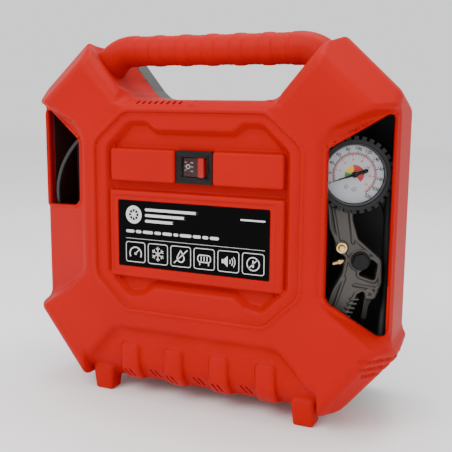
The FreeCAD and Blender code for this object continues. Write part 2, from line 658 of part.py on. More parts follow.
# ---- motor ----
def about_motor(r, x0, x1):
    return rod(r, (x0, MOTOR_Y, MOTOR_Z), (x1, MOTOR_Y, MOTOR_Z))


STATOR_X0, STATOR_X1 = -70.0, -16.0
BELL_LEFT, BELL_RIGHT = -84.0, 3.0         # outer faces of the motor's end brackets


def make_motor_stator():
    ring = about_motor(42, STATOR_X0, STATOR_X1).cut(about_motor(24, STATOR_X0 - 1, STATOR_X1 + 1))
    windows = [block(STATOR_X0 - 1, STATOR_X1 + 1, MOTOR_Y - 15, MOTOR_Y + 15,
                     MOTOR_Z + s - 5, MOTOR_Z + s + 5)
               for s in (-31, 31)]
    return ring.cut(windows)


def make_field_coils():
    coils = []
    for s in (-31, 31):
        coil = block(STATOR_X0 - 6, STATOR_X1 + 6, MOTOR_Y - 14.8, MOTOR_Y + 14.8,
                     MOTOR_Z + s - 4.8, MOTOR_Z + s + 4.8)
        coils.append(coil)
    return group(coils)


def make_armature_core():
    core = about_motor(23, STATOR_X0 + 3, STATOR_X1 - 3).cut(about_motor(4, STATOR_X0, STATOR_X1))
    cuts = []
    for i in range(12):
        slot = block(STATOR_X0, STATOR_X1, MOTOR_Y - 1.3, MOTOR_Y + 1.3, MOTOR_Z + 14, MOTOR_Z + 24)
        slot.rotate(Vector(0, MOTOR_Y, MOTOR_Z), Vector(1, 0, 0), 30 * i)
        cuts.append(slot)
    return core.cut(cuts)


def make_motor_shaft():
    return about_motor(4, -99, 29)


def make_commutator():
    ring = about_motor(11, -14, -2).cut(about_motor(4, -15, 0))
    cuts = []
    for i in range(24):
        slot = block(-15, -1, MOTOR_Y - 0.25, MOTOR_Y + 0.25, MOTOR_Z + 9.8, MOTOR_Z + 12)
        slot.rotate(Vector(0, MOTOR_Y, MOTOR_Z), Vector(1, 0, 0), 15 * i)
        cuts.append(slot)
    return ring.cut(cuts)


def make_brushes():
    return group([block(-12, -4, MOTOR_Y + s * 18.4 - 7, MOTOR_Y + s * 18.4 + 7, MOTOR_Z - 3, MOTOR_Z + 3)
                  for s in (-1, 1)])


def make_brush_holders():
    holders = []
    for s in (-1, 1):
        y = MOTOR_Y + s * 24.5
        holder = block(-13.5, -2.5, y - 7.5, y + 7.5, MOTOR_Z - 4.5, MOTOR_Z + 4.5)
        holders.append(holder.cut(block(-12, -4, MOTOR_Y + s * 18.4 - 7, MOTOR_Y + s * 18.4 + 7,
                                        MOTOR_Z - 3, MOTOR_Z + 3)))
    return group(holders)


BEARING_R = 11.0


def end_bracket(x0, x1, plate_r):
    """Motor end bracket: a ring with three arms, its bearing seat in the middle."""
    disc = about_motor(plate_r, x0, x1)
    cuts = [about_motor(BEARING_R, x0 - 1, x1 + 1)]
    for i in range(3):
        opening = rod(10, (x0 - 1, MOTOR_Y, MOTOR_Z + 27), (x1 + 1, MOTOR_Y, MOTOR_Z + 27))
        opening.rotate(Vector(0, MOTOR_Y, MOTOR_Z), Vector(1, 0, 0), 60 + 120 * i)
        cuts.append(opening)
    return disc.cut(cuts)


def make_motor_bracket():
    """Left bracket with four posts reaching over the stator."""
    bracket = end_bracket(BELL_LEFT, BELL_LEFT + 7, 44)
    posts = []
    for turn in (45, 135, 225, 315):
        post = block(BELL_LEFT + 7, STATOR_X0, MOTOR_Y - 3, MOTOR_Y + 3, MOTOR_Z + 36, MOTOR_Z + 42)
        post.rotate(Vector(0, MOTOR_Y, MOTOR_Z), Vector(1, 0, 0), turn)
        posts.append(post)
    return fuse([bracket] + posts)


def make_bearings():
    bearings = []
    for x in (BELL_LEFT, 6.0):
        bearings.append(about_motor(BEARING_R, x, x + 7).cut(about_motor(4.03, x - 1, x + 8)))
    bearings.append(rod(BEARING_R, (6, MOTOR_Y, CRANK_Z), (13, MOTOR_Y, CRANK_Z))
                    .cut(rod(5.03, (5, MOTOR_Y, CRANK_Z), (14, MOTOR_Y, CRANK_Z))))
    return group(bearings)


def make_cooling_fan():
    hub = about_motor(13, -97, -87).cut(about_motor(4, -98, -86))
    disc = about_motor(46, -88.5, -87).cut(about_motor(12, -89, -86))
    blades = []
    for i in range(11):
        blade = block(-97, -88, MOTOR_Y - 0.9, MOTOR_Y + 0.9, MOTOR_Z + 12, MOTOR_Z + 45)
        blade.rotate(Vector(-92, MOTOR_Y, MOTOR_Z + 28), Vector(0, 0, 1), 18)
        blade = blade.common(block(-97, -88, 0, 200, 0, 300))
        blade.rotate(Vector(0, MOTOR_Y, MOTOR_Z), Vector(1, 0, 0), 360.0 * i / 11)
        blades.append(blade)
    return fuse([hub, disc] + blades)


# ---- gears, crank, rod and piston ----
def spur_gear(teeth, x0, x1, centre_z, bore, phase):
    """Involute spur gear about an axis along x, one tooth centred at the phase angle."""
    pitch = teeth * MODULE / 2
    base = pitch * math.cos(math.radians(20))
    tip, root = pitch + 0.95 * MODULE, pitch - 1.25 * MODULE
    backlash = 0.16
    half_tooth = (math.pi * MODULE / 2 - backlash) / 2 / pitch
    involute = math.tan(math.radians(20)) - math.radians(20)

    def flank_angle(r):
        if r <= base:
            return half_tooth + involute
        pressure = math.acos(base / r)
        return half_tooth + involute - (math.tan(pressure) - pressure)

    start = max(base, root)
    steps = [start + (tip - start) * k / 5 for k in range(6)]
    points = []
    for i in range(teeth):
        middle = math.radians(phase) + 2 * math.pi * i / teeth
        for r, angle in ([(root, flank_angle(start) * 1.05)] + [(r, flank_angle(r)) for r in steps]):
            points.append((r, middle - angle))
        for r, angle in reversed([(root, flank_angle(start) * 1.05)] + [(r, flank_angle(r)) for r in steps]):
            points.append((r, middle + angle))
    ring = [Vector(x0, MOTOR_Y + r * math.cos(a), centre_z + r * math.sin(a)) for r, a in points]
    gear = Part.Face(Part.makePolygon(ring + [ring[0]])).extrude(Vector(x1 - x0, 0, 0))
    return gear.cut(rod(bore, (x0 - 1, MOTOR_Y, centre_z), (x1 + 1, MOTOR_Y, centre_z)))


def make_motor_pinion():
    return spur_gear(PINION_TEETH, 16, 28, MOTOR_Z, 4.0, 0.0)


def make_drive_gear():
    gear = spur_gear(GEAR_TEETH, 17, 27, CRANK_Z, 5.0, 0.0)
    holes = []
    for i in range(6):
        hole = rod(7, (16, MOTOR_Y + 22, CRANK_Z), (28, MOTOR_Y + 22, CRANK_Z))
        hole.rotate(Vector(0, MOTOR_Y, CRANK_Z), Vector(1, 0, 0), 60 * i)
        holes.append(hole)
    return gear.cut(holes)


def make_crankshaft():
    """Crank journal, web with counterweight, and crank pin, at top dead centre."""
    journal = rod(5, (6.5, MOTOR_Y, CRANK_Z), (28.5, MOTOR_Y, CRANK_Z))
    web = rod(9, (28.5, MOTOR_Y, CRANK_Z + THROW), (36, MOTOR_Y, CRANK_Z + THROW))
    weight = rod(27, (28.5, MOTOR_Y, CRANK_Z), (36, MOTOR_Y, CRANK_Z))
    weight = weight.common(block(28, 37, MOTOR_Y - 30, MOTOR_Y + 30, CRANK_Z - 30, CRANK_Z - 2))
    neck = block(28.5, 36, MOTOR_Y - 9, MOTOR_Y + 9, CRANK_Z - 6, CRANK_Z + THROW)
    pin = rod(5, (36, MOTOR_Y, CRANK_Z + THROW), (48.2, MOTOR_Y, CRANK_Z + THROW))
    return fuse([journal, web, weight, neck, pin])


def make_connecting_rod():
    """Rod with its big end beside the crank pin and its small end on the wrist pin."""
    big_z = CRANK_Z + THROW
    big = rod(11, (ROD_X - 5, MOTOR_Y, big_z), (ROD_X + 5, MOTOR_Y, big_z))
    small = rod(7.5, (ROD_X - 5, MOTOR_Y, WRIST_Z), (ROD_X + 5, MOTOR_Y, WRIST_Z))
    shank = block(ROD_X - 4, ROD_X + 4, MOTOR_Y - 4.5, MOTOR_Y + 4.5, big_z + 5, WRIST_Z - 4)
    return fuse([big, small, shank]).cut([
        rod(5, (ROD_X - 6, MOTOR_Y, big_z), (ROD_X + 6, MOTOR_Y, big_z)),
        rod(4.05, (ROD_X - 6, MOTOR_Y, WRIST_Z), (ROD_X + 6, MOTOR_Y, WRIST_Z))])


def make_rod_bearing():
    """Needle bearing pressed in the big end."""
    big_z = CRANK_Z + THROW
    return tube(5, 3.2, (ROD_X - 5, MOTOR_Y, big_z), (ROD_X + 5, MOTOR_Y, big_z))


def make_wrist_pin():
    return rod(4, (ROD_X - 17, MOTOR_Y, WRIST_Z), (ROD_X + 17, MOTOR_Y, WRIST_Z))


def make_piston():
    crown = rod(BORE_R - 0.4, (ROD_X, MOTOR_Y, WRIST_Z + 9), (ROD_X, MOTOR_Y, WRIST_Z + 17))
    skirt = tube(BORE_R - 0.4, BORE_R - 4, (ROD_X, MOTOR_Y, WRIST_Z - 8), (ROD_X, MOTOR_Y, WRIST_Z + 9))
    bosses = [block(ROD_X + s * 12.5 - 6, ROD_X + s * 12.5 + 6, MOTOR_Y - 7, MOTOR_Y + 7,
                    WRIST_Z - 7, WRIST_Z + 9.5)
              for s in (-1, 1)]
    ring_limit = rod(BORE_R - 0.4, (ROD_X, MOTOR_Y, WRIST_Z - 8), (ROD_X, MOTOR_Y, WRIST_Z + 17))
    body = fuse([crown, skirt] + [b.common(ring_limit) for b in bosses])
    groove = tube(BORE_R + 1, BORE_R - 2.4, (ROD_X, MOTOR_Y, WRIST_Z + 11.5), (ROD_X, MOTOR_Y, WRIST_Z + 14))
    return body.cut([rod(4, (ROD_X - 25, MOTOR_Y, WRIST_Z), (ROD_X + 25, MOTOR_Y, WRIST_Z)), groove])


def make_piston_ring():
    return tube(BORE_R - 0.05, BORE_R - 2.4, (ROD_X, MOTOR_Y, WRIST_Z + 11.5), (ROD_X, MOTOR_Y, WRIST_Z + 14))


def on_cylinder(r, z0, z1):
    return rod(r, (ROD_X, MOTOR_Y, z0), (ROD_X, MOTOR_Y, z1))


def make_cylinder():
    barrel = on_cylinder(BORE_R + 3, CYLINDER_FOOT, CYLINDER_HEAD)
    fins = [on_cylinder(BORE_R + 8, z, z + 2) for z in range(200, 238, 6)]
    return fuse([barrel, on_cylinder(BORE_R + 8, CYLINDER_FOOT, CYLINDER_FOOT + 3)] + fins
                ).cut(on_cylinder(BORE_R, CYLINDER_FOOT - 1, CYLINDER_HEAD + 1))


HEAD_BOLTS = [(ROD_X + sx * 20.5, MOTOR_Y + sy * 20.5) for sx in (-1, 1) for sy in (-1, 1)]


def square_on_cylinder(half, z0, z1, r_bolt):
    plate_body = block(ROD_X - half, ROD_X + half, MOTOR_Y - half, MOTOR_Y + half, z0, z1)
    return plate_body.cut([rod(r_bolt, (x, y, z0 - 1), (x, y, z1 + 1)) for x, y in HEAD_BOLTS])


def make_valve_plate():
    ports = [rod(2.5, (ROD_X + s * 8, MOTOR_Y, CYLINDER_HEAD - 1),
                 (ROD_X + s * 8, MOTOR_Y, CYLINDER_HEAD + 5))
             for s in (-1, 1)]
    return square_on_cylinder(26, CYLINDER_HEAD, CYLINDER_HEAD + 4, 2.0).cut(ports)


def make_reed_valves():
    top = CYLINDER_HEAD + 4
    outlet = block(ROD_X + 4, ROD_X + 20, MOTOR_Y - 3.5, MOTOR_Y + 3.5, top, top + 0.4)
    inlet = block(ROD_X - 12, ROD_X + 4, MOTOR_Y - 3.5, MOTOR_Y + 3.5, CYLINDER_HEAD - 0.4, CYLINDER_HEAD)
    return group([outlet, inlet])


def make_cylinder_head():
    z0 = CYLINDER_HEAD + 4
    head = square_on_cylinder(26, z0, z0 + 16, 2.0)
    cavity = block(ROD_X - 18, ROD_X + 22, MOTOR_Y - 10, MOTOR_Y + 10, z0 - 1, z0 + 11)
    fins = [block(ROD_X - 25, ROD_X + 25, MOTOR_Y + d - 1, MOTOR_Y + d + 1, z0 + 15, z0 + 21)
            for d in (-12, -6, 0, 6, 12)]
    outlet = rod(3, (ROD_X + 20, MOTOR_Y, z0 + 5), (ROD_X + 27, MOTOR_Y, z0 + 5))
    relief = rod(4, (ROD_X - 27, MOTOR_Y, z0 + 6), (ROD_X - 17, MOTOR_Y, z0 + 6))
    return fuse([head.cut(cavity)] + fins).cut([outlet, relief])


def make_head_bolts():
    bolts = []
    for x, y in HEAD_BOLTS:
        top = CYLINDER_HEAD + 20
        shank, head = rod(2.0, (x, y, CYLINDER_HEAD), (x, y, top)), rod(3.6, (x, y, top), (x, y, top + 3.5))
        bolts.append(shank.fuse(head).cut(rod(1.6, (x, y, top + 1.5), (x, y, top + 4))))
    return group(bolts)


PIPE_Z = CYLINDER_HEAD + 9


def make_discharge_pipe():
    """Short pipe from the head to the bulkhead fitting beside the gun."""
    route = [(ROD_X + 20.2, MOTOR_Y, PIPE_Z), (ROD_X + 32, MOTOR_Y, PIPE_Z),
             (ROD_X + 40, MOTOR_Y - 9, PIPE_Z - 6), (TRAY_IN - 12, OUTLET.y + 4, OUTLET.z + 4),
             (TRAY_IN - 12.0, OUTLET.y, OUTLET.z)]
    pieces = [rod(3, route[i], route[i + 1]) for i in range(3)]
    joints = [Part.makeSphere(3, Vector(*p)) for p in route[1:3]]
    return fuse(pieces[:2] + joints + [rod(3, route[2], (TRAY_IN - 10, OUTLET.y, OUTLET.z))]
                ).cut(make_outlet_fitting())


def make_safety_valve():
    x, z = ROD_X - 17.2, PIPE_Z + 1
    return fuse([rod(4, (x, MOTOR_Y, z), (x - 12, MOTOR_Y, z)),
                 rod(6, (x - 9.5, MOTOR_Y, z), (x - 14, MOTOR_Y, z)),
                 rod(3.4, (x - 14, MOTOR_Y, z), (x - 24, MOTOR_Y, z))])


def make_crankcase():
    """Cast bracket: bearing wall, roof under the cylinder, and a foot on the base plate."""
    wall = block(6, 13, MOTOR_Y - 44, MOTOR_Y + 44, 52, CYLINDER_FOOT)
    ring = about_motor(44, BELL_RIGHT, 6).cut(about_motor(38, BELL_RIGHT - 1, 7))
    wall = wall.fuse(ring)
    roof = block(6, ROD_X + 30, MOTOR_Y - 34, MOTOR_Y + 34, CYLINDER_FOOT - 6, CYLINDER_FOOT)
    webs = [block(12, ROD_X + 30, MOTOR_Y + s * 33 - 1.5, MOTOR_Y + s * 33 + 1.5,
                  CYLINDER_FOOT - 22, CYLINDER_FOOT)
            for s in (-1, 1)]
    foot_plate = block(6, 34, MOTOR_Y - 44, MOTOR_Y + 44, 46, 52.5)
    cuts = [about_motor(BEARING_R, 5, 14), rod(BEARING_R, (5, MOTOR_Y, CRANK_Z), (14, MOTOR_Y, CRANK_Z)),
            on_cylinder(BORE_R, CYLINDER_FOOT - 7, CYLINDER_FOOT + 1),
            rod(38.2, (15.5, MOTOR_Y, CRANK_Z), (28.6, MOTOR_Y, CRANK_Z))]
    return fuse([wall, roof, foot_plate] + webs).cut(cuts)


def make_stator_cradle():
    cradle = block(STATOR_X0 + 5, STATOR_X1 - 5, MOTOR_Y - 38, MOTOR_Y + 38, 46, 74)
    return cradle.cut(about_motor(42, STATOR_X0, STATOR_X1))


def make_stator_strap():
    strap = about_motor(43.2, -50, -36).cut(about_motor(42, -51, -35))
    return strap.cut(block(-51, -35, MOTOR_Y - 60, MOTOR_Y + 60, 0, 74))


MOUNTS = [(x, MOTOR_Y + s * 34) for x in (-62, 24) for s in (-1, 1)]


def make_base_plate():
    base = block(-74, 40, MOTOR_Y - 46, MOTOR_Y + 46, 43, 46)
    return base.cut([rod(2.5, (x, y, 42), (x, y, 47)) for x, y in MOUNTS])


def make_rubber_mounts():
    """Rubber buffers between the base plate and the shells' floors; the rear floor is 1 mm higher."""
    mounts = []
    for x, y in MOUNTS:
        bottom = BODY_FLOOR + WALL + (1.0 if y > PARTING else 0.0)
        mounts.append(rod(9, (x, y, bottom), (x, y, 43)).fuse(rod(2.5, (x, y, 43), (x, y, 46))))
    return group(mounts)


PARTS = {
    "front_shell": make_front_shell, "rear_shell": make_rear_shell, "shell_screws": make_shell_screws,
    "carry_handle": make_handle, "left_tray": lambda: make_tray(-1), "right_tray": lambda: make_tray(1),
    "label_plate": make_label, "switch_bezel": make_switch_bezel, "switch_rocker": make_switch_rocker,
    "switch_cover": make_switch_cover, "gauge_case": make_gauge_case, "gauge_dial": make_gauge_dial,
    "gauge_needle": make_gauge_needle, "gauge_lens": make_gauge_lens, "gauge_boot": make_gauge_boot,
    "gun_body": make_gun_body, "gun_trigger": make_gun_trigger, "trigger_pin": make_trigger_pin,
    "gun_brass": lambda: group([make_bleed_collar(), make_gun_nipple()]),
    "bleed_button": make_bleed_button, "gun_knob": make_gun_knob, "hose_ferrule": make_hose_ferrule,
    "air_hose": lambda: cord_tube(HOSE_ROUTE, HOSE_R, "air_hose"), "outlet_fitting": make_outlet_fitting,
    "hose_coil": lambda: hank(HOSE_COIL_BOX, HOSE_COIL_WIDTH),
    "power_cord": lambda: cord_tube(CORD_ROUTE, CORD_R, "power_cord"),
    "cord_coil": lambda: hank(COIL_BOX, 13),
    "cord_tail": lambda: cord_tube(TAIL_ROUTE, CORD_R, "cord_tail"), "cord_gland": make_cord_gland,
    "cord_plug": make_cord_plug, "plug_pins": make_plug_pins,
    "motor_stator": make_motor_stator, "field_coils": make_field_coils, "armature_core": make_armature_core,
    "motor_shaft": make_motor_shaft, "commutator": make_commutator, "brushes": make_brushes,
    "brush_holders": make_brush_holders, "motor_bracket": make_motor_bracket, "bearings": make_bearings,
    "cooling_fan": make_cooling_fan, "motor_pinion": make_motor_pinion, "drive_gear": make_drive_gear,
    "crankshaft": make_crankshaft, "connecting_rod": make_connecting_rod, "rod_bearing": make_rod_bearing,
    "wrist_pin": make_wrist_pin, "piston": make_piston, "piston_ring": make_piston_ring,
    "cylinder": make_cylinder, "valve_plate": make_valve_plate, "reed_valves": make_reed_valves,
    "cylinder_head": make_cylinder_head, "head_bolts": make_head_bolts, "discharge_pipe": make_discharge_pipe,
    "safety_valve": make_safety_valve, "crankcase": make_crankcase, "stator_cradle": make_stator_cradle,
    "base_plate": make_base_plate, "rubber_mounts": make_rubber_mounts,
}

for part_name, maker in PARTS.items():
    save(part_name, maker())
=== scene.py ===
import json
import math

import bmesh
import bpy
import numpy as np
from mathutils import Matrix, Vector


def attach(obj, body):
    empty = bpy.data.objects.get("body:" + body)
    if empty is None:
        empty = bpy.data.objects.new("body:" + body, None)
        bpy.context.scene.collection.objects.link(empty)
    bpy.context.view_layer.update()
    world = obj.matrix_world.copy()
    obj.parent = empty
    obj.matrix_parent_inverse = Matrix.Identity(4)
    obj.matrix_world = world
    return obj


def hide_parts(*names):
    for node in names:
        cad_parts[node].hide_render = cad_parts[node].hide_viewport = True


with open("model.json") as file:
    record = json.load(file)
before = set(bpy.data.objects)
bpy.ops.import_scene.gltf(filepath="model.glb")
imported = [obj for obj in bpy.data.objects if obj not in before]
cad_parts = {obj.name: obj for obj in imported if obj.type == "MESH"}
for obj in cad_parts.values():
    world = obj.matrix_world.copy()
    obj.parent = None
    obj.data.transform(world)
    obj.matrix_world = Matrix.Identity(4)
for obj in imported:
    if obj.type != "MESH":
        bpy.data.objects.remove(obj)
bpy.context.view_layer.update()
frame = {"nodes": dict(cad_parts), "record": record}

NODES = frame["nodes"]

# ---- sizes, in millimetres from the front plane (y = 0) as the model is drawn ----
FRONT_TO_MIDDLE = 70.75
PARTING, BACK, ARM_BACK, BEVEL_DEPTH, WALL = 77.0, 143.0, 104.0, 31.0, 5.0
BODY_FLOOR, GAP_FLOOR, SIDE, HIP, TOP = 13.0, 292.0, 180.0, 190.0, 351.0
FLANK_START, FLANK_DEPTH, FLANK_SLOPE = 124.8, 6.0, 0.376
PANEL_HALF, PANEL_TOP, PANEL_BOTTOM = 105.0, 282.7, 91.2
PANEL_FLOOR, BAR_FACE = 10.0, 2.0
SWITCH_X, SWITCH_Z = 0.5, 231.5
LABEL_BOX = (-79.5, 75.5, 134.4, 198.0)
HANDLE_Y, HANDLE_Z, HANDLE_R = 45.0, 338.0, 15.0
GAUGE = (142.7, 26.5, 230.4)
GUN_TURN = math.atan(FLANK_SLOPE)
DIAL_R = 25.0
GRID = 2.0


def metres(x, y, z):
    return Vector((x / 1000, (y - FRONT_TO_MIDDLE) / 1000, z / 1000))


# ---- distance functions: negative inside, in millimetres ----
def both(a, b, r=0.0):
    """Intersection with a rounded edge of radius r."""
    if r == 0:
        return np.maximum(a, b)
    return np.hypot(np.maximum(a + r, 0), np.maximum(b + r, 0)) + np.minimum(np.maximum(a, b), -r)


def either(a, b, r=0.0):
    """Union with a filleted corner of radius r."""
    return -both(-a, -b, r)


def less(a, b, r=0.0):
    """The first shape with the second cut out of it, the new edge rounded."""
    return both(a, -b, r)


def arc_outline(points):
    """Outline as plain points; a third value is a corner's radius."""
    out = []
    n = len(points)
    for i, p in enumerate(points):
        here = np.array(p[:2], float)
        r = p[2] if len(p) > 2 else 0
        if not r:
            out.append(here)
            continue
        a = np.array(points[i - 1][:2], float) - here
        b = np.array(points[(i + 1) % n][:2], float) - here
        a, b = a / np.linalg.norm(a), b / np.linalg.norm(b)
        half = math.acos(max(-1, min(1, float(a @ b)))) / 2
        middle = here + (a + b) / np.linalg.norm(a + b) * r / math.sin(half)
        start, end = here + a * r / math.tan(half), here + b * r / math.tan(half)
        a0 = math.atan2(*(start - middle)[::-1])
        sweep = (math.atan2(*(end - middle)[::-1]) - a0 + math.pi) % (2 * math.pi) - math.pi
        steps = max(2, int(abs(sweep) / 0.3))
        for k in range(steps + 1):
            t = a0 + sweep * k / steps
            out.append(middle + r * np.array([math.cos(t), math.sin(t)]))
    return np.array(out)


def inside_outline(x, z, points):
    """Signed distance in the xz plane to a closed outline."""
    pts = arc_outline(points)
    nearest = None
    odd = None
    for i in range(len(pts)):
        ax, az = pts[i - 1]
        bx, bz = pts[i]
        ex, ez = bx - ax, bz - az
        length2 = ex * ex + ez * ez
        if length2 < 1e-9:
            continue
        wx, wz = x - ax, z - az
        t = np.clip((wx * ex + wz * ez) / length2, 0, 1)
        d = (wx - ex * t) ** 2 + (wz - ez * t) ** 2
        nearest = d if nearest is None else np.minimum(nearest, d)
        crosses = ((az <= z) & (bz > z)) | ((bz <= z) & (az > z))
        with np.errstate(divide="ignore", invalid="ignore"):
            left = wx < ex * wz / (ez if ez else 1e-9)
        flip = crosses & left
        odd = flip if odd is None else odd ^ flip
    return np.where(odd, -1.0, 1.0) * np.sqrt(nearest)


def mirrored(half):
    return half + [(-p[0],) + tuple(p[1:]) for p in reversed(half) if p[0] != 0]


def plane(x, y, z, a, b, c, outward):
    """Distance outside the plane through three points."""
    a, b, c = (np.array(p, float) for p in (a, b, c))
    n = np.cross(b - a, c - a)
    n /= np.linalg.norm(n)
    if n @ np.array(outward, float) < 0:
        n = -n
    return (x - a[0]) * n[0] + (y - a[1]) * n[1] + (z - a[2]) * n[2]


def brick(x, y, z, x0, x1, y0, y1, z0, z1, r=0.0):
    """Box with rounded edges."""
    dx = np.abs(x - (x0 + x1) / 2) - (x1 - x0) / 2 + r
    dy = np.abs(y - (y0 + y1) / 2) - (y1 - y0) / 2 + r
    dz = np.abs(z - (z0 + z1) / 2) - (z1 - z0) / 2 + r
    out = np.sqrt(np.maximum(dx, 0) ** 2 + np.maximum(dy, 0) ** 2 + np.maximum(dz, 0) ** 2)
    return out + np.minimum(np.maximum(dx, np.maximum(dy, dz)), 0) - r


# ---- front shell ----
FULL_HALF = [(0, GAP_FLOOR), (74, GAP_FLOOR, 22), (122.5, TOP + 0.5, 5), (131, TOP - 1.5, 6), (SIDE, 303, 9),
             (SIDE, 86, 12), (HIP - 1, 74, 11), (140, BODY_FLOOR + 2, 14), (118, BODY_FLOOR, 40),
             (0, BODY_FLOOR)]
FLANK_ZONE = [(117.5, 256, 14), (128.5, 271, 10), (186, 299), (215, 299), (215, 60),
              (168, 84, 12), (133, 109, 12), (117.5, 124, 14)]
RECESS_HALF = [(0, 74), (84, 74, 14), (100, 58, 16), (121, 33, 10), (125, -20), (0, -20)]
PANEL_HALF_OUTLINE = [(0, PANEL_TOP), (71, PANEL_TOP, 14), (PANEL_HALF, 253.5, 14),
                      (PANEL_HALF, 123.4, 14), (72, PANEL_BOTTOM, 14), (0, PANEL_BOTTOM)]
POCKET_HALF = [(0, 267.5), (38, 267.5, 4), (48, 275, 4), (68, 275, 10), (95, 250, 10),
               (95, 126, 10), (69, 101, 10), (51, 104.5, 4), (41, 112.5, 4), (0, 112.5)]
RIGHT_WINDOW = [(123.5, 253, 6), (178.5, 287.5, 6), (179, 92, 8), (169, 90, 8), (128, 118, 8),
                (124.3, 124, 5)]
LEFT_WINDOW = [(-123.5, 253, 6), (-178.5, 287, 7), (-178.5, 184, 4), (-132, 187.5, 6), (-124, 194, 5)]
RIB_CENTRES = (-70, -22.5, 25, 72)
LOW_SLOT_CENTRES = (-71, -47, -25, 0.5, 24, 50)


def flank_front(x, y):
    """Distance in front of the slanted window panel; negative in front of it."""
    return (y - FLANK_DEPTH - (np.abs(x) - FLANK_START) * FLANK_SLOPE) / math.hypot(1, FLANK_SLOPE)


def arm_taper(ax, y, z):
    """Distance outside the planes by which the arms and hips draw in towards the back."""
    upper = plane(ax, y, z, (128, BEVEL_DEPTH, 350), (180, BEVEL_DEPTH, 302),
                  (172.5, PARTING, 293.9), (1, 1, 1))
    lower = plane(ax, y, z, (138, BEVEL_DEPTH, 15), (188, BEVEL_DEPTH, 72), (183, PARTING, 76.4), (1, 1, -1))
    return both(upper, lower, 2)


def body_front(x, y, z):
    """The front half with its bevels, window panels and foot recess, before the fine detail."""
    ax = np.abs(x)
    body = both(inside_outline(x, z, mirrored(FULL_HALF)), -y, 4)
    arm = both(plane(ax, y, z, (116, 0, 328.5), (155, 0, 294), (180, BEVEL_DEPTH, 302), (1, -1, 1)),
               plane(ax, y, z, (130, 0, 29), (168, 0, 78), (188, BEVEL_DEPTH, 72), (1, -1, -1)), 6)
    body = both(body, arm, 5)
    body = both(body, arm_taper(ax, y, z), 5)
    gap_side = both(-plane(ax, y, z, (88, 0, 298), (116, 0, 328.5), (110, 9, 331), (-1, -1, 1)),
                    brick(ax, y, z, 72, 150, -20, 40, 291, 380), 0)
    body = less(body, gap_side, 5)
    along = np.array([49.0, 59.0]) / math.hypot(49, 59)
    side_gap = (ax - 98) * -along[1] + (z - 321) * along[0]
    scoop = both(np.hypot(side_gap - 50, y - 44) - 58, 298 - z, 12)
    body = less(body, scoop, 3)
    lip = both(-plane(x, y, z, (-10, 0, 287), (10, 0, 287), (0, 10, GAP_FLOOR), (0, -1, 1)),
               brick(ax, y, z, -1, 80, -20, 40, 270, 330), 6)
    body = less(body, lip, 2.5)
    zone = (inside_outline(ax, z, FLANK_ZONE) + 0.38 * y) / math.hypot(1, 0.38)
    body = less(body, both(zone, flank_front(x, y), 4), 4)
    floor = y - 6.5 - np.clip((74 - z) * 0.06, 0, 4)
    sides = (inside_outline(x, z, mirrored(RECESS_HALF)) + 0.55 * y) / math.hypot(1, 0.55)
    foot_recess = both(sides, floor, 5)
    body = less(body, foot_recess, 4)
    under = both(-plane(x, y, z, (-10, 9, 32), (10, 9, 32), (0, 26, BODY_FLOOR), (0, -1, -1)),
                 ax - 121, 3)
    return less(body, under, 5)


def foot_shape(x, y, z, fx, fy):
    grow = np.clip(z, 0, 30) * 0.11
    foot = brick(x, y, np.clip(z, 0.5, 200), fx - 9.6, fx + 9.6, fy - 8.6, fy + 8.6, 0, 24, 2.0) - grow
    return both(foot, -z, 1.0)


def front_outer(x, y, z):
    ax = np.abs(x)
    body = body_front(x, y, z)
    ribs = None
    for rx in RIB_CENTRES:
        rib = brick(x, y, z, rx - 10.2, rx + 10.2, 3.4, 40, 15.2, 57, 4.5)
        rib = both(rib, -plane(x, y, z, (0, 6, 26), (10, 6, 26), (0, 17, 14), (0, 1, 1)), 4)
        ribs = rib if ribs is None else np.minimum(ribs, rib)
    body = either(body, both(ribs, body - 9, 0), 2.5)
    oct_d = inside_outline(x, z, mirrored(PANEL_HALF_OUTLINE))
    body = less(body, both(oct_d + 0.5, y - 2.0, 0.6), 0.8)
    body = either(body, np.hypot(oct_d, y - 0.9) - 2.3, 1.0)
    slope = (inside_outline(x, z, mirrored(POCKET_HALF)) + 0.8 * y) / math.hypot(1, 0.8)
    pocket = both(slope, y - PANEL_FLOOR, 1.5)
    body = less(body, pocket, 1.5)
    step = brick(x, y, z, -40, 40, 4.5, 40, 104, 120, 2.5)
    half_gap = 19.0
    bars = np.minimum(brick(x, y, z, SWITCH_X + half_gap, 87.5, BAR_FACE, 40, 216, 247, 2.6),
                      brick(x, y, z, -87.5, SWITCH_X - half_gap, BAR_FACE, 40, 216, 247, 2.6))
    label_frame = brick(x, y, z, -89, 89, BAR_FACE, 40, 123.5, 207.5, 2.8)
    body = either(body, np.minimum(bars, label_frame), 1.5)
    left, right, low, high = LABEL_BOX
    border = brick(x, y, z, left - 5.5, right + 5.5, -5, BAR_FACE + 0.8, low - 5.5, high + 4.5, 0.8)
    body = less(body, border, 0.8)
    body = less(body, brick(x, y, z, left, right, -5, BAR_FACE + 2, low, high, 0.3), 0.4)
    body = less(body, brick(x, y, z, SWITCH_X - 14, SWITCH_X + 14, -5, 40, SWITCH_Z - 11, SWITCH_Z + 11), 0.4)
    rim = np.minimum(np.abs(inside_outline(x, z, RIGHT_WINDOW)), np.abs(inside_outline(x, z, LEFT_WINDOW)))
    bead = both(np.hypot(rim, flank_front(x, y)) - 1.7, ax - SIDE + 1.5, 0.5)
    body = either(body, bead, 0.9)
    for fx in (-106.5, 106.5):
        body = either(body, foot_shape(x, y, z, fx, 22), 2.5)
    return body


def front_windows(x, y, z):
    ax = np.abs(x)
    windows = np.minimum(inside_outline(x, z, RIGHT_WINDOW), inside_outline(x, z, LEFT_WINDOW)) + 1.0
    cut = both(both(windows, y - 40), ax - SIDE + WALL)
    return cut


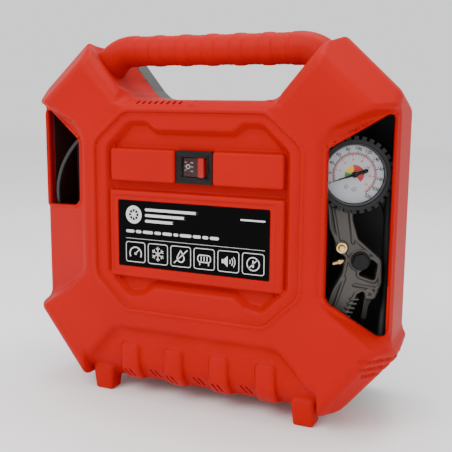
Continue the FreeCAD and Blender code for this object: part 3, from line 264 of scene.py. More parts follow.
def front_shell(x, y, z):
    outer = front_outer(x, y, z)
    grooves = None
    for gz in (58, 66, 74):
        g = np.hypot(z - gz, outer) - 1.5
        grooves = g if grooves is None else np.minimum(grooves, g)
    grooves = both(grooves, 158 - x, 2)
    shell = less(outer, outer + WALL)
    shell = less(shell, front_windows(x, y, z), 1.4)
    shell = less(shell, grooves, 0.4)
    return both(shell, y - PARTING + 0.3, 0.8)


# ---- meshing ----
CORNERS = [(i, j, k) for i in (0, 1) for j in (0, 1) for k in (0, 1)]


def gradient(shape, p, h=0.05):
    g = np.empty_like(p)
    for axis in range(3):
        q = p.copy()
        q[:, axis] += h
        high = shape(q[:, 0], q[:, 1], q[:, 2])
        q[:, axis] -= 2 * h
        g[:, axis] = (high - shape(q[:, 0], q[:, 1], q[:, 2])) / (2 * h)
    return g


def net_surface(shape, low, high, step):
    """Surface-net mesh of a distance function: vertices and quads."""
    axes = [np.arange(low[a] - step, high[a] + 2 * step, step) for a in range(3)]
    x, y, z = axes[0][:, None, None], axes[1][None, :, None], axes[2][None, None, :]
    v = np.broadcast_to(shape(x, y, z), [len(a) for a in axes]).astype(np.float32)
    inside = v < 0
    size = [n - 1 for n in v.shape]
    count = np.zeros(size, np.int8)
    for i, j, k in CORNERS:
        count += inside[i:i + size[0], j:j + size[1], k:k + size[2]]
    cells = np.argwhere((count > 0) & (count < 8))
    points = (cells + 0.5) * step + np.array([a[0] for a in axes])
    index = np.full(size, -1, np.int64)
    index[cells[:, 0], cells[:, 1], cells[:, 2]] = np.arange(len(cells))
    quads = []
    for axis in range(3):
        a, b = [(1, 2), (2, 0), (0, 1)][axis]
        first = [slice(0, n) for n in v.shape]
        second = list(first)
        first[axis], second[axis] = slice(0, v.shape[axis] - 1), slice(1, v.shape[axis])
        change = inside[tuple(first)] != inside[tuple(second)]
        at = np.argwhere(change)
        at = at[(at[:, a] > 0) & (at[:, b] > 0) & (at[:, a] < size[a]) & (at[:, b] < size[b])]
        starts_inside = inside[at[:, 0], at[:, 1], at[:, 2]]
        ring = []
        for da, db in ((-1, -1), (0, -1), (0, 0), (-1, 0)):
            q = at.copy()
            q[:, a] += da
            q[:, b] += db
            ring.append(index[q[:, 0], q[:, 1], q[:, 2]])
        ring = np.stack(ring, 1)
        ring[~starts_inside] = ring[~starts_inside][:, ::-1]
        quads.append(ring)
    quads = np.concatenate(quads)
    for _ in range(4):
        g = gradient(shape, points)
        d = shape(points[:, 0], points[:, 1], points[:, 2])
        move = g * (d / np.maximum((g ** 2).sum(1), 0.25))[:, None]
        far = np.linalg.norm(move, axis=1, keepdims=True)
        points -= move * np.minimum(1, 0.8 * step / np.maximum(far, 1e-9))
    return points, quads


def slot_cutter():
    """Slanted slots through the bottom edge and the floor of the hand gap."""
    work = bmesh.new()
    low = [(cx + dx, 14.0, 25.0, 1.5, 30.0, 9.0, -0.4) for cx in LOW_SLOT_CENTRES for dx in (-2.7, 2.7)]
    top = [(-70.0 + 6.3 * i, 5.6, GAP_FLOOR - 2, 2.0, 7.0, 11.0, 0.0) for i in range(10)]
    for cx, cy, cz, sx, sy, sz, lean in low + top:
        made = bmesh.ops.create_cube(work, size=1.0)["verts"]
        for v in made:
            x, y, z = v.co.x * sx, v.co.y * sy, v.co.z * sz
            v.co = metres(cx + x + z * lean, cy + y, cz + z)
    mesh = bpy.data.meshes.new("slots")
    work.to_mesh(mesh)
    work.free()
    return mesh


def cut_out(piece, cutter_mesh):
    """Cuts the cutter's shape out of a piece."""
    cutter = bpy.data.objects.new("cutter", cutter_mesh)
    bpy.context.scene.collection.objects.link(cutter)
    step = piece.modifiers.new("cut", "BOOLEAN")
    step.object = cutter
    step.operation = "DIFFERENCE"
    step.solver = "FAST"
    made = bpy.data.meshes.new_from_object(piece.evaluated_get(bpy.context.evaluated_depsgraph_get()))
    piece.modifiers.clear()
    bpy.data.objects.remove(cutter)
    made.name = piece.data.name
    piece.data = made
    return made


def flat_where_cut(mesh, shape, corners):
    """Corner normals with those of the cut faces set to the faces' own."""
    count = len(mesh.polygons)
    middles, faces, sizes = np.empty(count * 3), np.empty(count * 3), np.empty(count, np.int32)
    mesh.polygons.foreach_get("center", middles)
    mesh.polygons.foreach_get("normal", faces)
    mesh.polygons.foreach_get("loop_total", sizes)
    middles = middles.reshape(-1, 3) * 1000 + [0, FRONT_TO_MIDDLE, 0]
    off = np.abs(shape(middles[:, 0], middles[:, 1], middles[:, 2])) > 0.35
    owner = np.repeat(np.arange(count), sizes)
    return np.where(off[owner][:, None], faces.reshape(-1, 3)[owner], corners)


def sculpt(name, shape, low, high, step, material, place=None, cutter=None):
    """Smooth mesh of a distance function with its true normals."""
    points, quads = net_surface(shape, low, high, step)
    mesh = bpy.data.meshes.new(name)
    mesh.vertices.add(len(points))
    mesh.vertices.foreach_set("co", ((points - [0, FRONT_TO_MIDDLE, 0]) / 1000).astype(np.float32).ravel())
    mesh.loops.add(quads.size)
    mesh.loops.foreach_set("vertex_index", quads.astype(np.int32).ravel())
    mesh.polygons.add(len(quads))
    mesh.polygons.foreach_set("loop_start", np.arange(0, quads.size, 4, dtype=np.int32))
    mesh.update(calc_edges=True)
    mesh.validate()
    piece = bpy.data.objects.new(name, mesh)
    bpy.context.scene.collection.objects.link(piece)
    if cutter:
        mesh = cut_out(piece, cutter)
        mesh.materials.clear()
    p = np.empty(len(mesh.vertices) * 3)
    mesh.vertices.foreach_get("co", p)
    p = p.reshape(-1, 3) * 1000 + [0, FRONT_TO_MIDDLE, 0]
    normals = gradient(shape, p, 0.25)
    if place:
        origin = place(0, 0, 0)
        axes = np.array([(place(*(1000.0 * (k == i) for k in range(3))) - origin) for i in range(3)])
        mesh.vertices.foreach_set("co", (p / 1000 @ axes + np.array(origin)).astype(np.float32).ravel())
        normals = normals @ axes
    normals /= np.maximum(np.linalg.norm(normals, axis=1, keepdims=True), 1e-6)
    mesh.polygons.foreach_set("use_smooth", np.ones(len(mesh.polygons), bool))
    loops = np.empty(len(mesh.loops), np.int32)
    mesh.loops.foreach_get("vertex_index", loops)
    corners = normals[loops]
    if cutter:
        corners = flat_where_cut(mesh, shape, corners)
    mesh.normals_split_custom_set(corners)
    piece.data.materials.append(material)
    return piece


# ---- materials ----
def new_material(name):
    m = bpy.data.materials.new(name)
    m.use_nodes = True
    return m, m.node_tree.nodes, m.node_tree.links, m.node_tree.nodes["Principled BSDF"]


def moulded(name, colour, roughness=0.4, grain=0.05, grain_size=900.0, specular=0.5, coat=0.0, vary=0.06):
    """Moulded plastic or rubber: slight shade changes, fine surface grain and uneven gloss."""
    m, nodes, links, shader = new_material(name)
    coords = nodes.new("ShaderNodeTexCoord")
    broad = nodes.new("ShaderNodeTexNoise")
    broad.inputs["Scale"].default_value = 14.0
    broad.inputs["Detail"].default_value = 3.0
    links.new(coords.outputs["Object"], broad.inputs["Vector"])
    ramp = nodes.new("ShaderNodeValToRGB")
    shade_colour = [c * (1 - vary) for c in colour]
    light = [min(1, c * (1 + vary)) for c in colour]
    ramp.color_ramp.elements[0].position, ramp.color_ramp.elements[1].position = 0.3, 0.7
    ramp.color_ramp.elements[0].color = shade_colour + [1]
    ramp.color_ramp.elements[1].color = light + [1]
    links.new(broad.outputs["Fac"], ramp.inputs["Fac"])
    links.new(ramp.outputs["Color"], shader.inputs["Base Color"])
    gloss = nodes.new("ShaderNodeMapRange")
    gloss.inputs["To Min"].default_value = roughness - 0.05
    gloss.inputs["To Max"].default_value = roughness + 0.06
    fine = nodes.new("ShaderNodeTexNoise")
    fine.inputs["Scale"].default_value = grain_size
    fine.inputs["Detail"].default_value = 2.0
    links.new(coords.outputs["Object"], fine.inputs["Vector"])
    links.new(broad.outputs["Fac"], gloss.inputs["Value"])
    links.new(gloss.outputs["Result"], shader.inputs["Roughness"])
    bump = nodes.new("ShaderNodeBump")
    bump.inputs["Strength"].default_value = grain
    bump.inputs["Distance"].default_value = 0.0004
    links.new(fine.outputs["Fac"], bump.inputs["Height"])
    links.new(bump.outputs["Normal"], shader.inputs["Normal"])
    shader.inputs["Specular IOR Level"].default_value = specular
    shader.inputs["Coat Weight"].default_value = coat
    shader.inputs["Coat Roughness"].default_value = 0.25
    return m


def metal(name, colour, roughness=0.3, grain=0.08, grain_size=500.0, metallic=1.0):
    m = moulded(name, colour, roughness, grain, grain_size, vary=0.1)
    m.node_tree.nodes["Principled BSDF"].inputs["Metallic"].default_value = metallic
    return m


def clear(name, colour, roughness, alpha, specular=0.6):
    m, nodes, links, shader = new_material(name)
    shader.inputs["Base Color"].default_value = (*colour, 1)
    shader.inputs["Roughness"].default_value = roughness
    shader.inputs["Alpha"].default_value = alpha
    shader.inputs["Specular IOR Level"].default_value = specular
    return m


RED = (0.40, 0.002, 0.0004)
MATERIALS = {
    "red_shell": moulded("red_shell", RED, 0.5, 0.12, 1100.0, specular=0.1, vary=0.04),
    "grey_shell": moulded("grey_shell", (0.045, 0.048, 0.044), 0.5, 0.14, 900.0),
    "screw_steel": metal("screw_steel", (0.4, 0.4, 0.41), 0.35),
    "left_liner": moulded("left_liner", (0.03, 0.0008, 0.0008), 0.6, 0.1),
    "dark_cast": metal("dark_cast", (0.02, 0.018, 0.016), 0.5, 0.3, 420.0, 0.5),
    "black_liner": moulded("black_liner", (0.008, 0.008, 0.009), 0.6, 0.1),
    "label": moulded("label", (0.0008, 0.0008, 0.0008), 0.5, 0.02, specular=0.04),
    "black_plastic": moulded("black_plastic", (0.004, 0.004, 0.004), 0.45, 0.08, specular=0.2),
    "rocker_red": moulded("rocker_red", (0.42, 0.001, 0.001), 0.25, 0.0, specular=0.3),
    "clear_cover": clear("clear_cover", (0.05, 0.03, 0.03), 0.1, 0.06, 0.2),
    "gauge_metal": moulded("gauge_metal", (0.02, 0.02, 0.022), 0.35, 0.05),
    "dial_white": moulded("dial_white", (0.36, 0.37, 0.40), 0.4, 0.0, specular=0.2),
    "needle_black": moulded("needle_black", (0.002, 0.002, 0.002), 0.5, 0.0, specular=0.1),
    "lens": clear("lens", (0.3, 0.3, 0.3), 0.08, 0.015, 0.1),
    "rubber_black": moulded("rubber_black", (0.009, 0.009, 0.01), 0.55, 0.12, 700.0, specular=0.25),
    "cast_aluminium": metal("cast_aluminium", (0.07, 0.064, 0.058), 0.45, 0.3, 420.0, 0.6),
    "bright_steel": metal("bright_steel", (0.6, 0.6, 0.62), 0.25),
    "brass": metal("brass", (0.72, 0.5, 0.22), 0.25),
    "cord_black": moulded("cord_black", (0.014, 0.014, 0.015), 0.35, 0.03),
    "laminations": metal("laminations", (0.28, 0.28, 0.3), 0.45),
    "copper": metal("copper", (0.72, 0.32, 0.15), 0.3),
    "carbon": moulded("carbon", (0.03, 0.03, 0.03), 0.6),
    "die_cast": metal("die_cast", (0.5, 0.5, 0.51), 0.45, 0.2),
    "gear_nylon": moulded("gear_nylon", (0.7, 0.67, 0.56), 0.45),
    "crank_iron": metal("crank_iron", (0.3, 0.3, 0.31), 0.4),
    "seal_black": moulded("seal_black", (0.04, 0.04, 0.04), 0.5),
    "plate_steel": metal("plate_steel", (0.12, 0.12, 0.12), 0.4, metallic=0.4),
}

def paint_left_shade(m, edge, shade_colour):
    """Paints shade onto a material left of an edge, in metres across the row frame."""
    nodes, links = m.node_tree.nodes, m.node_tree.links
    shader = nodes["Principled BSDF"]
    coords = nodes["Texture Coordinate"]
    split = nodes.new("ShaderNodeSeparateXYZ")
    links.new(coords.outputs["Object"], split.inputs["Vector"])
    side = nodes.new("ShaderNodeMapRange")
    side.inputs["From Min"].default_value = edge - 0.0006
    side.inputs["From Max"].default_value = edge + 0.0006
    links.new(split.outputs["X"], side.inputs["Value"])
    mix = nodes.new("ShaderNodeMix")
    mix.data_type = "RGBA"
    links.new(side.outputs["Result"], mix.inputs["Factor"])
    mix.inputs["A"].default_value = (*shade_colour, 1)
    links.new(shader.inputs["Base Color"].links[0].from_socket, mix.inputs["B"])
    links.new(mix.outputs["Result"], shader.inputs["Base Color"])


# Painted shade: the left half of the switch rocker gets a near-black red in place of the shade on its
# pressed-in side.
paint_left_shade(MATERIALS["rocker_red"], 0.0045, (0.03, 0.006, 0.005))
SLOTS = {row["node"]: row["material_slot"] for row in frame["record"]["subparts"]}
LOOKS = {"left_tray": "left_liner", "gun_trigger": "dark_cast", "trigger_pin": "dark_cast"}
for name, slot_name in SLOTS.items():
    NODES[name].data.materials.clear()
    NODES[name].data.materials.append(MATERIALS[LOOKS.get(name, slot_name)])

MATERIALS["print_white"] = moulded("print_white", (0.6, 0.6, 0.6), 0.4, 0.0, vary=0.01)
MATERIALS["print_black"] = moulded("print_black", (0.004, 0.004, 0.004), 0.45, 0.0, vary=0.01)
MATERIALS["print_red"] = moulded("print_red", (0.35, 0.006, 0.006), 0.45, 0.0, vary=0.01)
MATERIALS["print_yellow"] = moulded("print_yellow", (0.55, 0.36, 0.01), 0.45, 0.0, vary=0.01)
MATERIALS["print_green"] = moulded("print_green", (0.015, 0.16, 0.03), 0.45, 0.0, vary=0.01)


# ---- piece helpers ----
def add_piece(name, mesh, body, material, nodes=(), smooth=35.0):
    """Links a mesh as a piece of the object, on its body, in place of CAD nodes."""
    mesh.name = name
    piece = bpy.data.objects.new(name, mesh)
    bpy.context.scene.collection.objects.link(piece)
    if smooth is not None:
        mesh.polygons.foreach_set("use_smooth", np.ones(len(mesh.polygons), bool))
        mesh.set_sharp_from_angle(angle=math.radians(smooth))
    mesh.materials.clear()
    mesh.materials.append(MATERIALS[material])
    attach(piece, body)
    if nodes:
        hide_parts(*nodes)
    return piece


def rounded(node, body, width, segments=3, material=None, name=None):
    """A node's own shape with its sharp edges rounded over."""
    source = NODES[node]
    slot = SLOTS[node]
    work = bmesh.new()
    work.from_mesh(source.data)
    bmesh.ops.remove_doubles(work, verts=work.verts, dist=2e-6)
    bmesh.ops.dissolve_limit(work, angle_limit=math.radians(1.2), verts=work.verts, edges=work.edges)
    mesh = bpy.data.meshes.new(node)
    work.to_mesh(mesh)
    work.free()
    blank = bpy.data.objects.new("blank", mesh)
    bpy.context.scene.collection.objects.link(blank)
    bevel = blank.modifiers.new("edges", "BEVEL")
    bevel.width = width / 1000
    bevel.segments = segments
    bevel.limit_method = "ANGLE"
    bevel.angle_limit = math.radians(38)
    bevel.use_clamp_overlap = True
    bevel.miter_outer = "MITER_ARC"
    made = bpy.data.meshes.new_from_object(blank.evaluated_get(bpy.context.evaluated_depsgraph_get()))
    bpy.data.objects.remove(blank)
    look = material or LOOKS.get(node, slot)
    return add_piece(name or node + "_moulding", made, body, look, (node,))


def sweep(name, points, radii, sides=40, capped=True):
    """Tube through the points with a radius at each."""
    pts = [Vector(p) for p in points]
    verts, faces = [], []
    side = None
    for i, p in enumerate(pts):
        ahead = (pts[min(i + 1, len(pts) - 1)] - pts[max(i - 1, 0)]).normalized()
        if side is None:
            side = ahead.orthogonal().normalized()
        side = (side - ahead * side.dot(ahead)).normalized()
        other = ahead.cross(side)
        for k in range(sides):
            a = 2 * math.pi * k / sides
            verts.append(p + float(radii[i]) * (math.cos(a) * side + math.sin(a) * other))
    for i in range(len(pts) - 1):
        for k in range(sides):
            n = (k + 1) % sides
            faces.append((i * sides + k, i * sides + n, (i + 1) * sides + n, (i + 1) * sides + k))
    if capped:
        faces.append(tuple(reversed(range(sides))))
        faces.append(tuple(range((len(pts) - 1) * sides, len(pts) * sides)))
    mesh = bpy.data.meshes.new(name)
    mesh.from_pydata([tuple(v) for v in verts], [], faces)
    return mesh


def lathe(name, profile, place, sides=72):
    """Turned shape: (radius, depth) profile about an axis, put in place by a function."""
    verts, faces = [], []
    for r, d in profile:
        for k in range(sides):
            a = 2 * math.pi * k / sides
            verts.append(tuple(place(r * math.cos(a), d, r * math.sin(a))))
    for i in range(len(profile) - 1):
        for k in range(sides):
            n = (k + 1) % sides
            faces.append((i * sides + k, i * sides + n, (i + 1) * sides + n, (i + 1) * sides + k))
    faces.append(tuple(reversed(range(sides))))
    faces.append(tuple(range((len(profile) - 1) * sides, len(profile) * sides)))
    mesh = bpy.data.meshes.new(name)
    mesh.from_pydata(verts, [], faces)
    return mesh


# ---- red shell, grey shell and handle ----
def gun_point(right, depth, up):
    c, s = math.cos(GUN_TURN), math.sin(GUN_TURN)
    return metres(GAUGE[0] + right * c - depth * s, GAUGE[1] + right * s + depth * c, GAUGE[2] + up)


shell = sculpt("front_shell_moulding", front_shell, (-192, -3, -1), (192, 79, 354), GRID,
               MATERIALS["red_shell"], cutter=slot_cutter())
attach(shell, "compressor")
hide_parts("front_shell")

CORE_HALF = [(0, 288), (130, 288, 16), (172, 262, 16), (172, 70, 16), (132, 22, 16),
             (100, BODY_FLOOR + 1, 16), (0, BODY_FLOOR + 1)]
SCREWS = [(side * x, z) for side in (-1, 1) for x, z in ((150, 250), (148, 66), (90, 40), (90, 268))]


def rear_outer(x, y, z):
    ax = np.abs(x)
    arms = both(inside_outline(x, z, mirrored(FULL_HALF)) + 0.8, y - ARM_BACK, 5)
    core = both(inside_outline(x, z, mirrored(CORE_HALF)), y - BACK, 8)
    body = either(arms, core, 4)
    body = both(body, plane(ax, y, z, (SIDE - 1, PARTING, 0), (SIDE - 1, PARTING, 200), (163, BACK, 200),
                            (1, 1, 0)), 4)
    corner = both(-plane(ax, y, z, (HIP, PARTING + 8, 60), (HIP, PARTING + 8, 90), (HIP - 20, ARM_BACK, 60),
                         (1, 1, 0)), z - 110, 4)
    body = less(body, both(corner, y - ARM_BACK - 1, 0), 4)
    body = both(body, arm_taper(ax, y, z), 4)
    for fx in (-106.5, 106.5):
        body = either(body, foot_shape(x, y, z, fx, 129), 2.5)
    return body


def rear_shell(x, y, z):
    outer = rear_outer(x, y, z)
    ax = np.abs(x)
    panel = brick(ax, y, z, 24, 100, BACK - 1.2, BACK + 6, 80, 180, 4)
    shell = both(less(outer, panel, 1.2), -(outer + WALL))
    for row in range(8):
        low = 90 + 11 * row
        shell = less(shell, brick(ax, y, z, 32, 92, BACK - 8, BACK + 6, low, low + 4, 1.8), 0.8)
    for sx, sz in SCREWS:
        seat = both(np.hypot(x - sx, z - sz) - 4.7, BACK - 1.6 - y)
        pad = both(np.hypot(x - sx, z - sz) - 9.0, both(y - BACK, BACK - 8 - y), 1.5)
        shell = less(either(shell, pad, 1.5), seat, 0.6)
    return both(shell, PARTING + 0.4 - y, 0.8)


rear = sculpt("rear_shell_moulding", rear_shell, (-192, 76, -1), (192, 145, 354), GRID + 0.4,
              MATERIALS["grey_shell"])
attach(rear, "compressor")
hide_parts("rear_shell")


def handle_mesh():
    """Grip bar with shallow rings, its ends turned down and widening into the arms."""
    reach, bend, turn, tail = 86.0, 30.0, math.radians(42), 20.0
    half = [(x, 0.0) for x in np.arange(0, reach, 0.8)]
    half += [(reach + bend * math.sin(a), bend * (math.cos(a) - 1)) for a in np.linspace(0, turn, 28)]
    x_end, z_end = half[-1]
    half += [(x_end + t * math.cos(turn), z_end - t * math.sin(turn)) for t in np.linspace(0.8, tail, 24)]
    line = [(-x, z) for x, z in reversed(half[1:])] + half
    points, radii = [], []
    for x, z in line:
        points.append(metres(x, HANDLE_Y, HANDLE_Z + z))
        ring = sum(math.exp(-((x - (-77 + 14 * i)) / 1.2) ** 2) for i in range(12))
        wave = 0.55 * (1 - math.cos(x * math.pi / 14)) * max(0.0, 1 - (x / 95) ** 6)
        swell = max(0.0, (abs(x) - 92) / 20.0)
        radii.append((HANDLE_R - 0.1 - 0.7 * ring - wave + 1.6 * min(swell, 1) ** 2) / 1000)
    return sweep("handle", points, radii, 56)


add_piece("carry_handle_moulding", handle_mesh(), "compressor", "red_shell",
          ("carry_handle",), 60)

# ---- cords ----
HOSE_ROUTE = [(121.6, 31.4, 91.4), (121.5, 33.0, 80.5), (126.4, 34.6, 70.1), (135.4, 36.0, 63.0),
              (146.6, 37.0, 61.0), (157.6, 37.8, 64.6), (165.0, 38.6, 72.0), (168.2, 39.6, 82.0),
              (168.4, 42.2, 93.0), (167.6, 48.0, 103.0), (166.7, 54.4, 112.0), (166.1, 58.4, 121.0),
              (166.0, 59.8, 131.0)]
HOSE_COIL_BOX = (112.0, 170.2, 55.7, 71.9, 62.0, 262.0)
OUTLET_END = (113.0, 58.0, 226.0)
HOSE_R, CORD_R = 4.0, 2.2
CORD_ROUTE = [(-114.0, 30.0, 266.0), (-125.0, 28.0, 262.5), (-139.0, 26.2, 252.0),
              (-152.0, 26.0, 238.0), (-162.0, 26.4, 221.0), (-167.4, 27.6, 203.0),
              (-168.4, 30.6, 185.0), (-167.4, 34.4, 167.0), (-166.5, 36.5, 151.0)]
COIL_BOX = (-169.0, -117.0, 34.0, 60.0, 58.0, 162.0)
TAIL_ROUTE = [(-122.5, 57.4, 149.0), (-124.2, 58.0, 158.0), (-127.2, 58.9, 167.5),
              (-130.8, 59.6, 176.5), (-133.4, 60.0, 184.5), (-134.0, 60.0, 192.0)]
CORD_TURNS = 4.5


def oval(box, inset, angle_steps=5, side_steps=3):
    """Points down one long side of an upright oval and on round it, ending where they began."""
    x0, x1, z0, z1 = box[0] + inset, box[1] - inset, box[4] + inset, box[5] - inset
    r = (x1 - x0) / 2
    cx, low, high = (x0 + x1) / 2, z0 + r, z1 - r
    sides = [high + (low - high) * (k + 0.5) / side_steps for k in range(side_steps)]
    arc = [math.radians(180.0 * (k + 0.5) / angle_steps) for k in range(angle_steps)]
    out = [(x0, z) for z in sides]
    out += [(cx - r * 1.02 * math.cos(a), low - r * 1.02 * math.sin(a)) for a in arc]
    out += [(x1, z) for z in reversed(sides)]
    out += [(cx + r * 1.02 * math.cos(a), high + r * 1.02 * math.sin(a)) for a in arc]
    return out


def cord_curve(name, points, r, material):
    data = bpy.data.curves.new(name, "CURVE")
    data.dimensions = "3D"
    spline = data.splines.new("NURBS")
    spline.points.add(len(points) - 1)
    for spot, p in zip(spline.points, points):
        spot.co = (*metres(*p), 1)
    spline.order_u = 3
    spline.use_endpoint_u = True
    spline.resolution_u = 10
    data.bevel_depth = r / 1000
    data.bevel_resolution = 6
    data.use_fill_caps = True
    obj = bpy.data.objects.new(name, data)
    bpy.context.scene.collection.objects.link(obj)
    data.materials.append(MATERIALS[material])
    return obj


def centre_line(curve):
    """Points along a cord's centreline and its length in metres."""
    depth, curve.data.bevel_depth = curve.data.bevel_depth, 0
    bpy.context.view_layer.update()
    line = bpy.data.meshes.new_from_object(curve.evaluated_get(bpy.context.evaluated_depsgraph_get()))
    curve.data.bevel_depth = depth
    pts = [v.co.copy() for v in line.vertices]
    return pts, sum((a - b).length for a, b in zip(pts, pts[1:]))


hose_loop = oval(HOSE_COIL_BOX, HOSE_R + 0.2)
hose_points = [OUTLET_END, (125.0, 58.2, 226.0), (139.0, 60.5, 224.5), (151.0, 64.0, 217.0),
               (160.5, 66.9, 204.0), (165.2, 67.7, 187.0)]
mirror = HOSE_COIL_BOX[0] + HOSE_COIL_BOX[1]
hose_loop = [(mirror - x, z) for x, z in hose_loop]
for i, (x, z) in enumerate(hose_loop[1:]):
    hose_points.append((x, 67.7 - 7.9 * max(0.0, (i - 10.0) / 4.0), z))
hose_points += [(166.0, 59.8, 214.0), (166.0, 59.8, 184.0), (165.9, 59.8, 156.0)]
hose = cord_curve("air_hose_line", hose_points + HOSE_ROUTE[::-1], HOSE_R, "rubber_black")
hose_length = centre_line(hose)[1]

cord_points = list(CORD_ROUTE)
ring = oval(COIL_BOX, CORD_R + 0.25)
steps = int(CORD_TURNS * len(ring))
for i in range(steps):
    x, z = ring[i % len(ring)]
    cord_points.append((x, 36.7 + (i + 1) * 20.5 / steps, z))
mains = cord_curve("mains_cord_line", cord_points + TAIL_ROUTE, CORD_R, "cord_black")
mains_line, mains_length = centre_line(mains)

hose_ferrule = rounded("hose_ferrule", "compressor", 0.8)
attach(hose, "compressor")
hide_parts("air_hose", "hose_coil")


def relief(name, line, start_r, end_r, reach):
    """Tapered sleeve with rings along the first stretch of a cord."""
    points, radii, gone = [line[0]], [start_r], 0.0
    for a, b in zip(line, line[1:]):
        steps = max(1, int((b - a).length / 0.0007))
        for k in range(steps):
            p = a.lerp(b, (k + 1) / steps)
            gone += (b - a).length / steps
            t = gone / reach
            if t > 1:
                return sweep(name, points, [r / 1000 for r in radii], 32)
            points.append(p)
            groove = 0.45 if 0.15 < t < 0.92 and (gone * 1000) % 4.2 < 1.3 else 0.0
            radii.append(start_r + (end_r - start_r) * t - groove)
    return sweep(name, points, [r / 1000 for r in radii], 32)


gland_relief = add_piece("gland_relief", relief("gland_relief", mains_line, 4.4, 2.6, 0.03), "compressor",
                         "black_plastic")
plug_relief = add_piece("plug_relief", relief("plug_relief", mains_line[::-1], 4.3, 2.7, 0.026), "compressor",
                        "cord_black")
plug = rounded("cord_plug", "compressor", 2.4, 4)
pins = rounded("plug_pins", "compressor", 1.0, 3)
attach(mains, "compressor")
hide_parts("power_cord", "cord_coil", "cord_tail")

# ---- small pieces with rounded edges ----
for node, width in (("switch_bezel", 0.7), ("switch_cover", 0.5), ("gauge_case", 0.8), ("gauge_boot", 0.7),
                    ("gun_knob", 0.7), ("gun_brass", 0.4), ("trigger_pin", 0.3), ("outlet_fitting", 0.6),
                    ("cord_gland", 0.6), ("left_tray", 0.8), ("right_tray", 0.8)):
    rounded(node, "compressor", width)
rounded("switch_rocker", "rocker", 0.8, 3)
rounded("gun_trigger", "trigger", 0.9)
rounded("bleed_button", "button", 0.5)


# ---- flat print ----
def strip(outer, inner):
    """Faces between two outlines with the same number of points."""
    n = len(outer)
    return [[outer[i], outer[(i + 1) % n], inner[(i + 1) % n], inner[i]] for i in range(n)]


def circle_points(cx, cz, r, a0=0.0, a1=360.0, steps=40):
    return [(cx + r * math.cos(math.radians(a0 + (a1 - a0) * k / steps)),
             cz + r * math.sin(math.radians(a0 + (a1 - a0) * k / steps))) for k in range(steps + 1)]


def arc_band(cx, cz, r0, r1, a0=0.0, a1=360.0, steps=40):
    outer = circle_points(cx, cz, r1, a0, a1, steps)
    inner = circle_points(cx, cz, r0, a0, a1, steps)
    return [[outer[i], outer[i + 1], inner[i + 1], inner[i]] for i in range(steps)]


def bar(x0, z0, x1, z1, w):
    """Line of width w with round ends."""
    a = math.atan2(z1 - z0, x1 - x0)
    out = [(x1 + w / 2 * math.cos(a + t), z1 + w / 2 * math.sin(a + t))
           for t in np.linspace(-math.pi / 2, math.pi / 2, 9)]
    out += [(x0 + w / 2 * math.cos(a + t), z0 + w / 2 * math.sin(a + t))
            for t in np.linspace(math.pi / 2, 3 * math.pi / 2, 9)]
    return [out]


def frame_band(x0, x1, z0, z1, r, w):
    outer = arc_outline([(x0, z0, r), (x1, z0, r), (x1, z1, r), (x0, z1, r)])
    inner = arc_outline([(x0 + w, z0 + w, r - w), (x1 - w, z0 + w, r - w), (x1 - w, z1 - w, r - w),
                         (x0 + w, z1 - w, r - w)])
    return strip([tuple(p) for p in outer], [tuple(p) for p in inner])


def printed(name, faces, place, body, material):
    verts, polys = [], []
    for face in faces:
        polys.append(tuple(range(len(verts), len(verts) + len(face))))
        verts += [tuple(place(*p)) for p in face]
    mesh = bpy.data.meshes.new(name)
    mesh.from_pydata(verts, [], polys)
    return add_piece(name, mesh, body, material, smooth=None)


def on_label(x, z):
    return metres(x, BAR_FACE + 0.93, z)


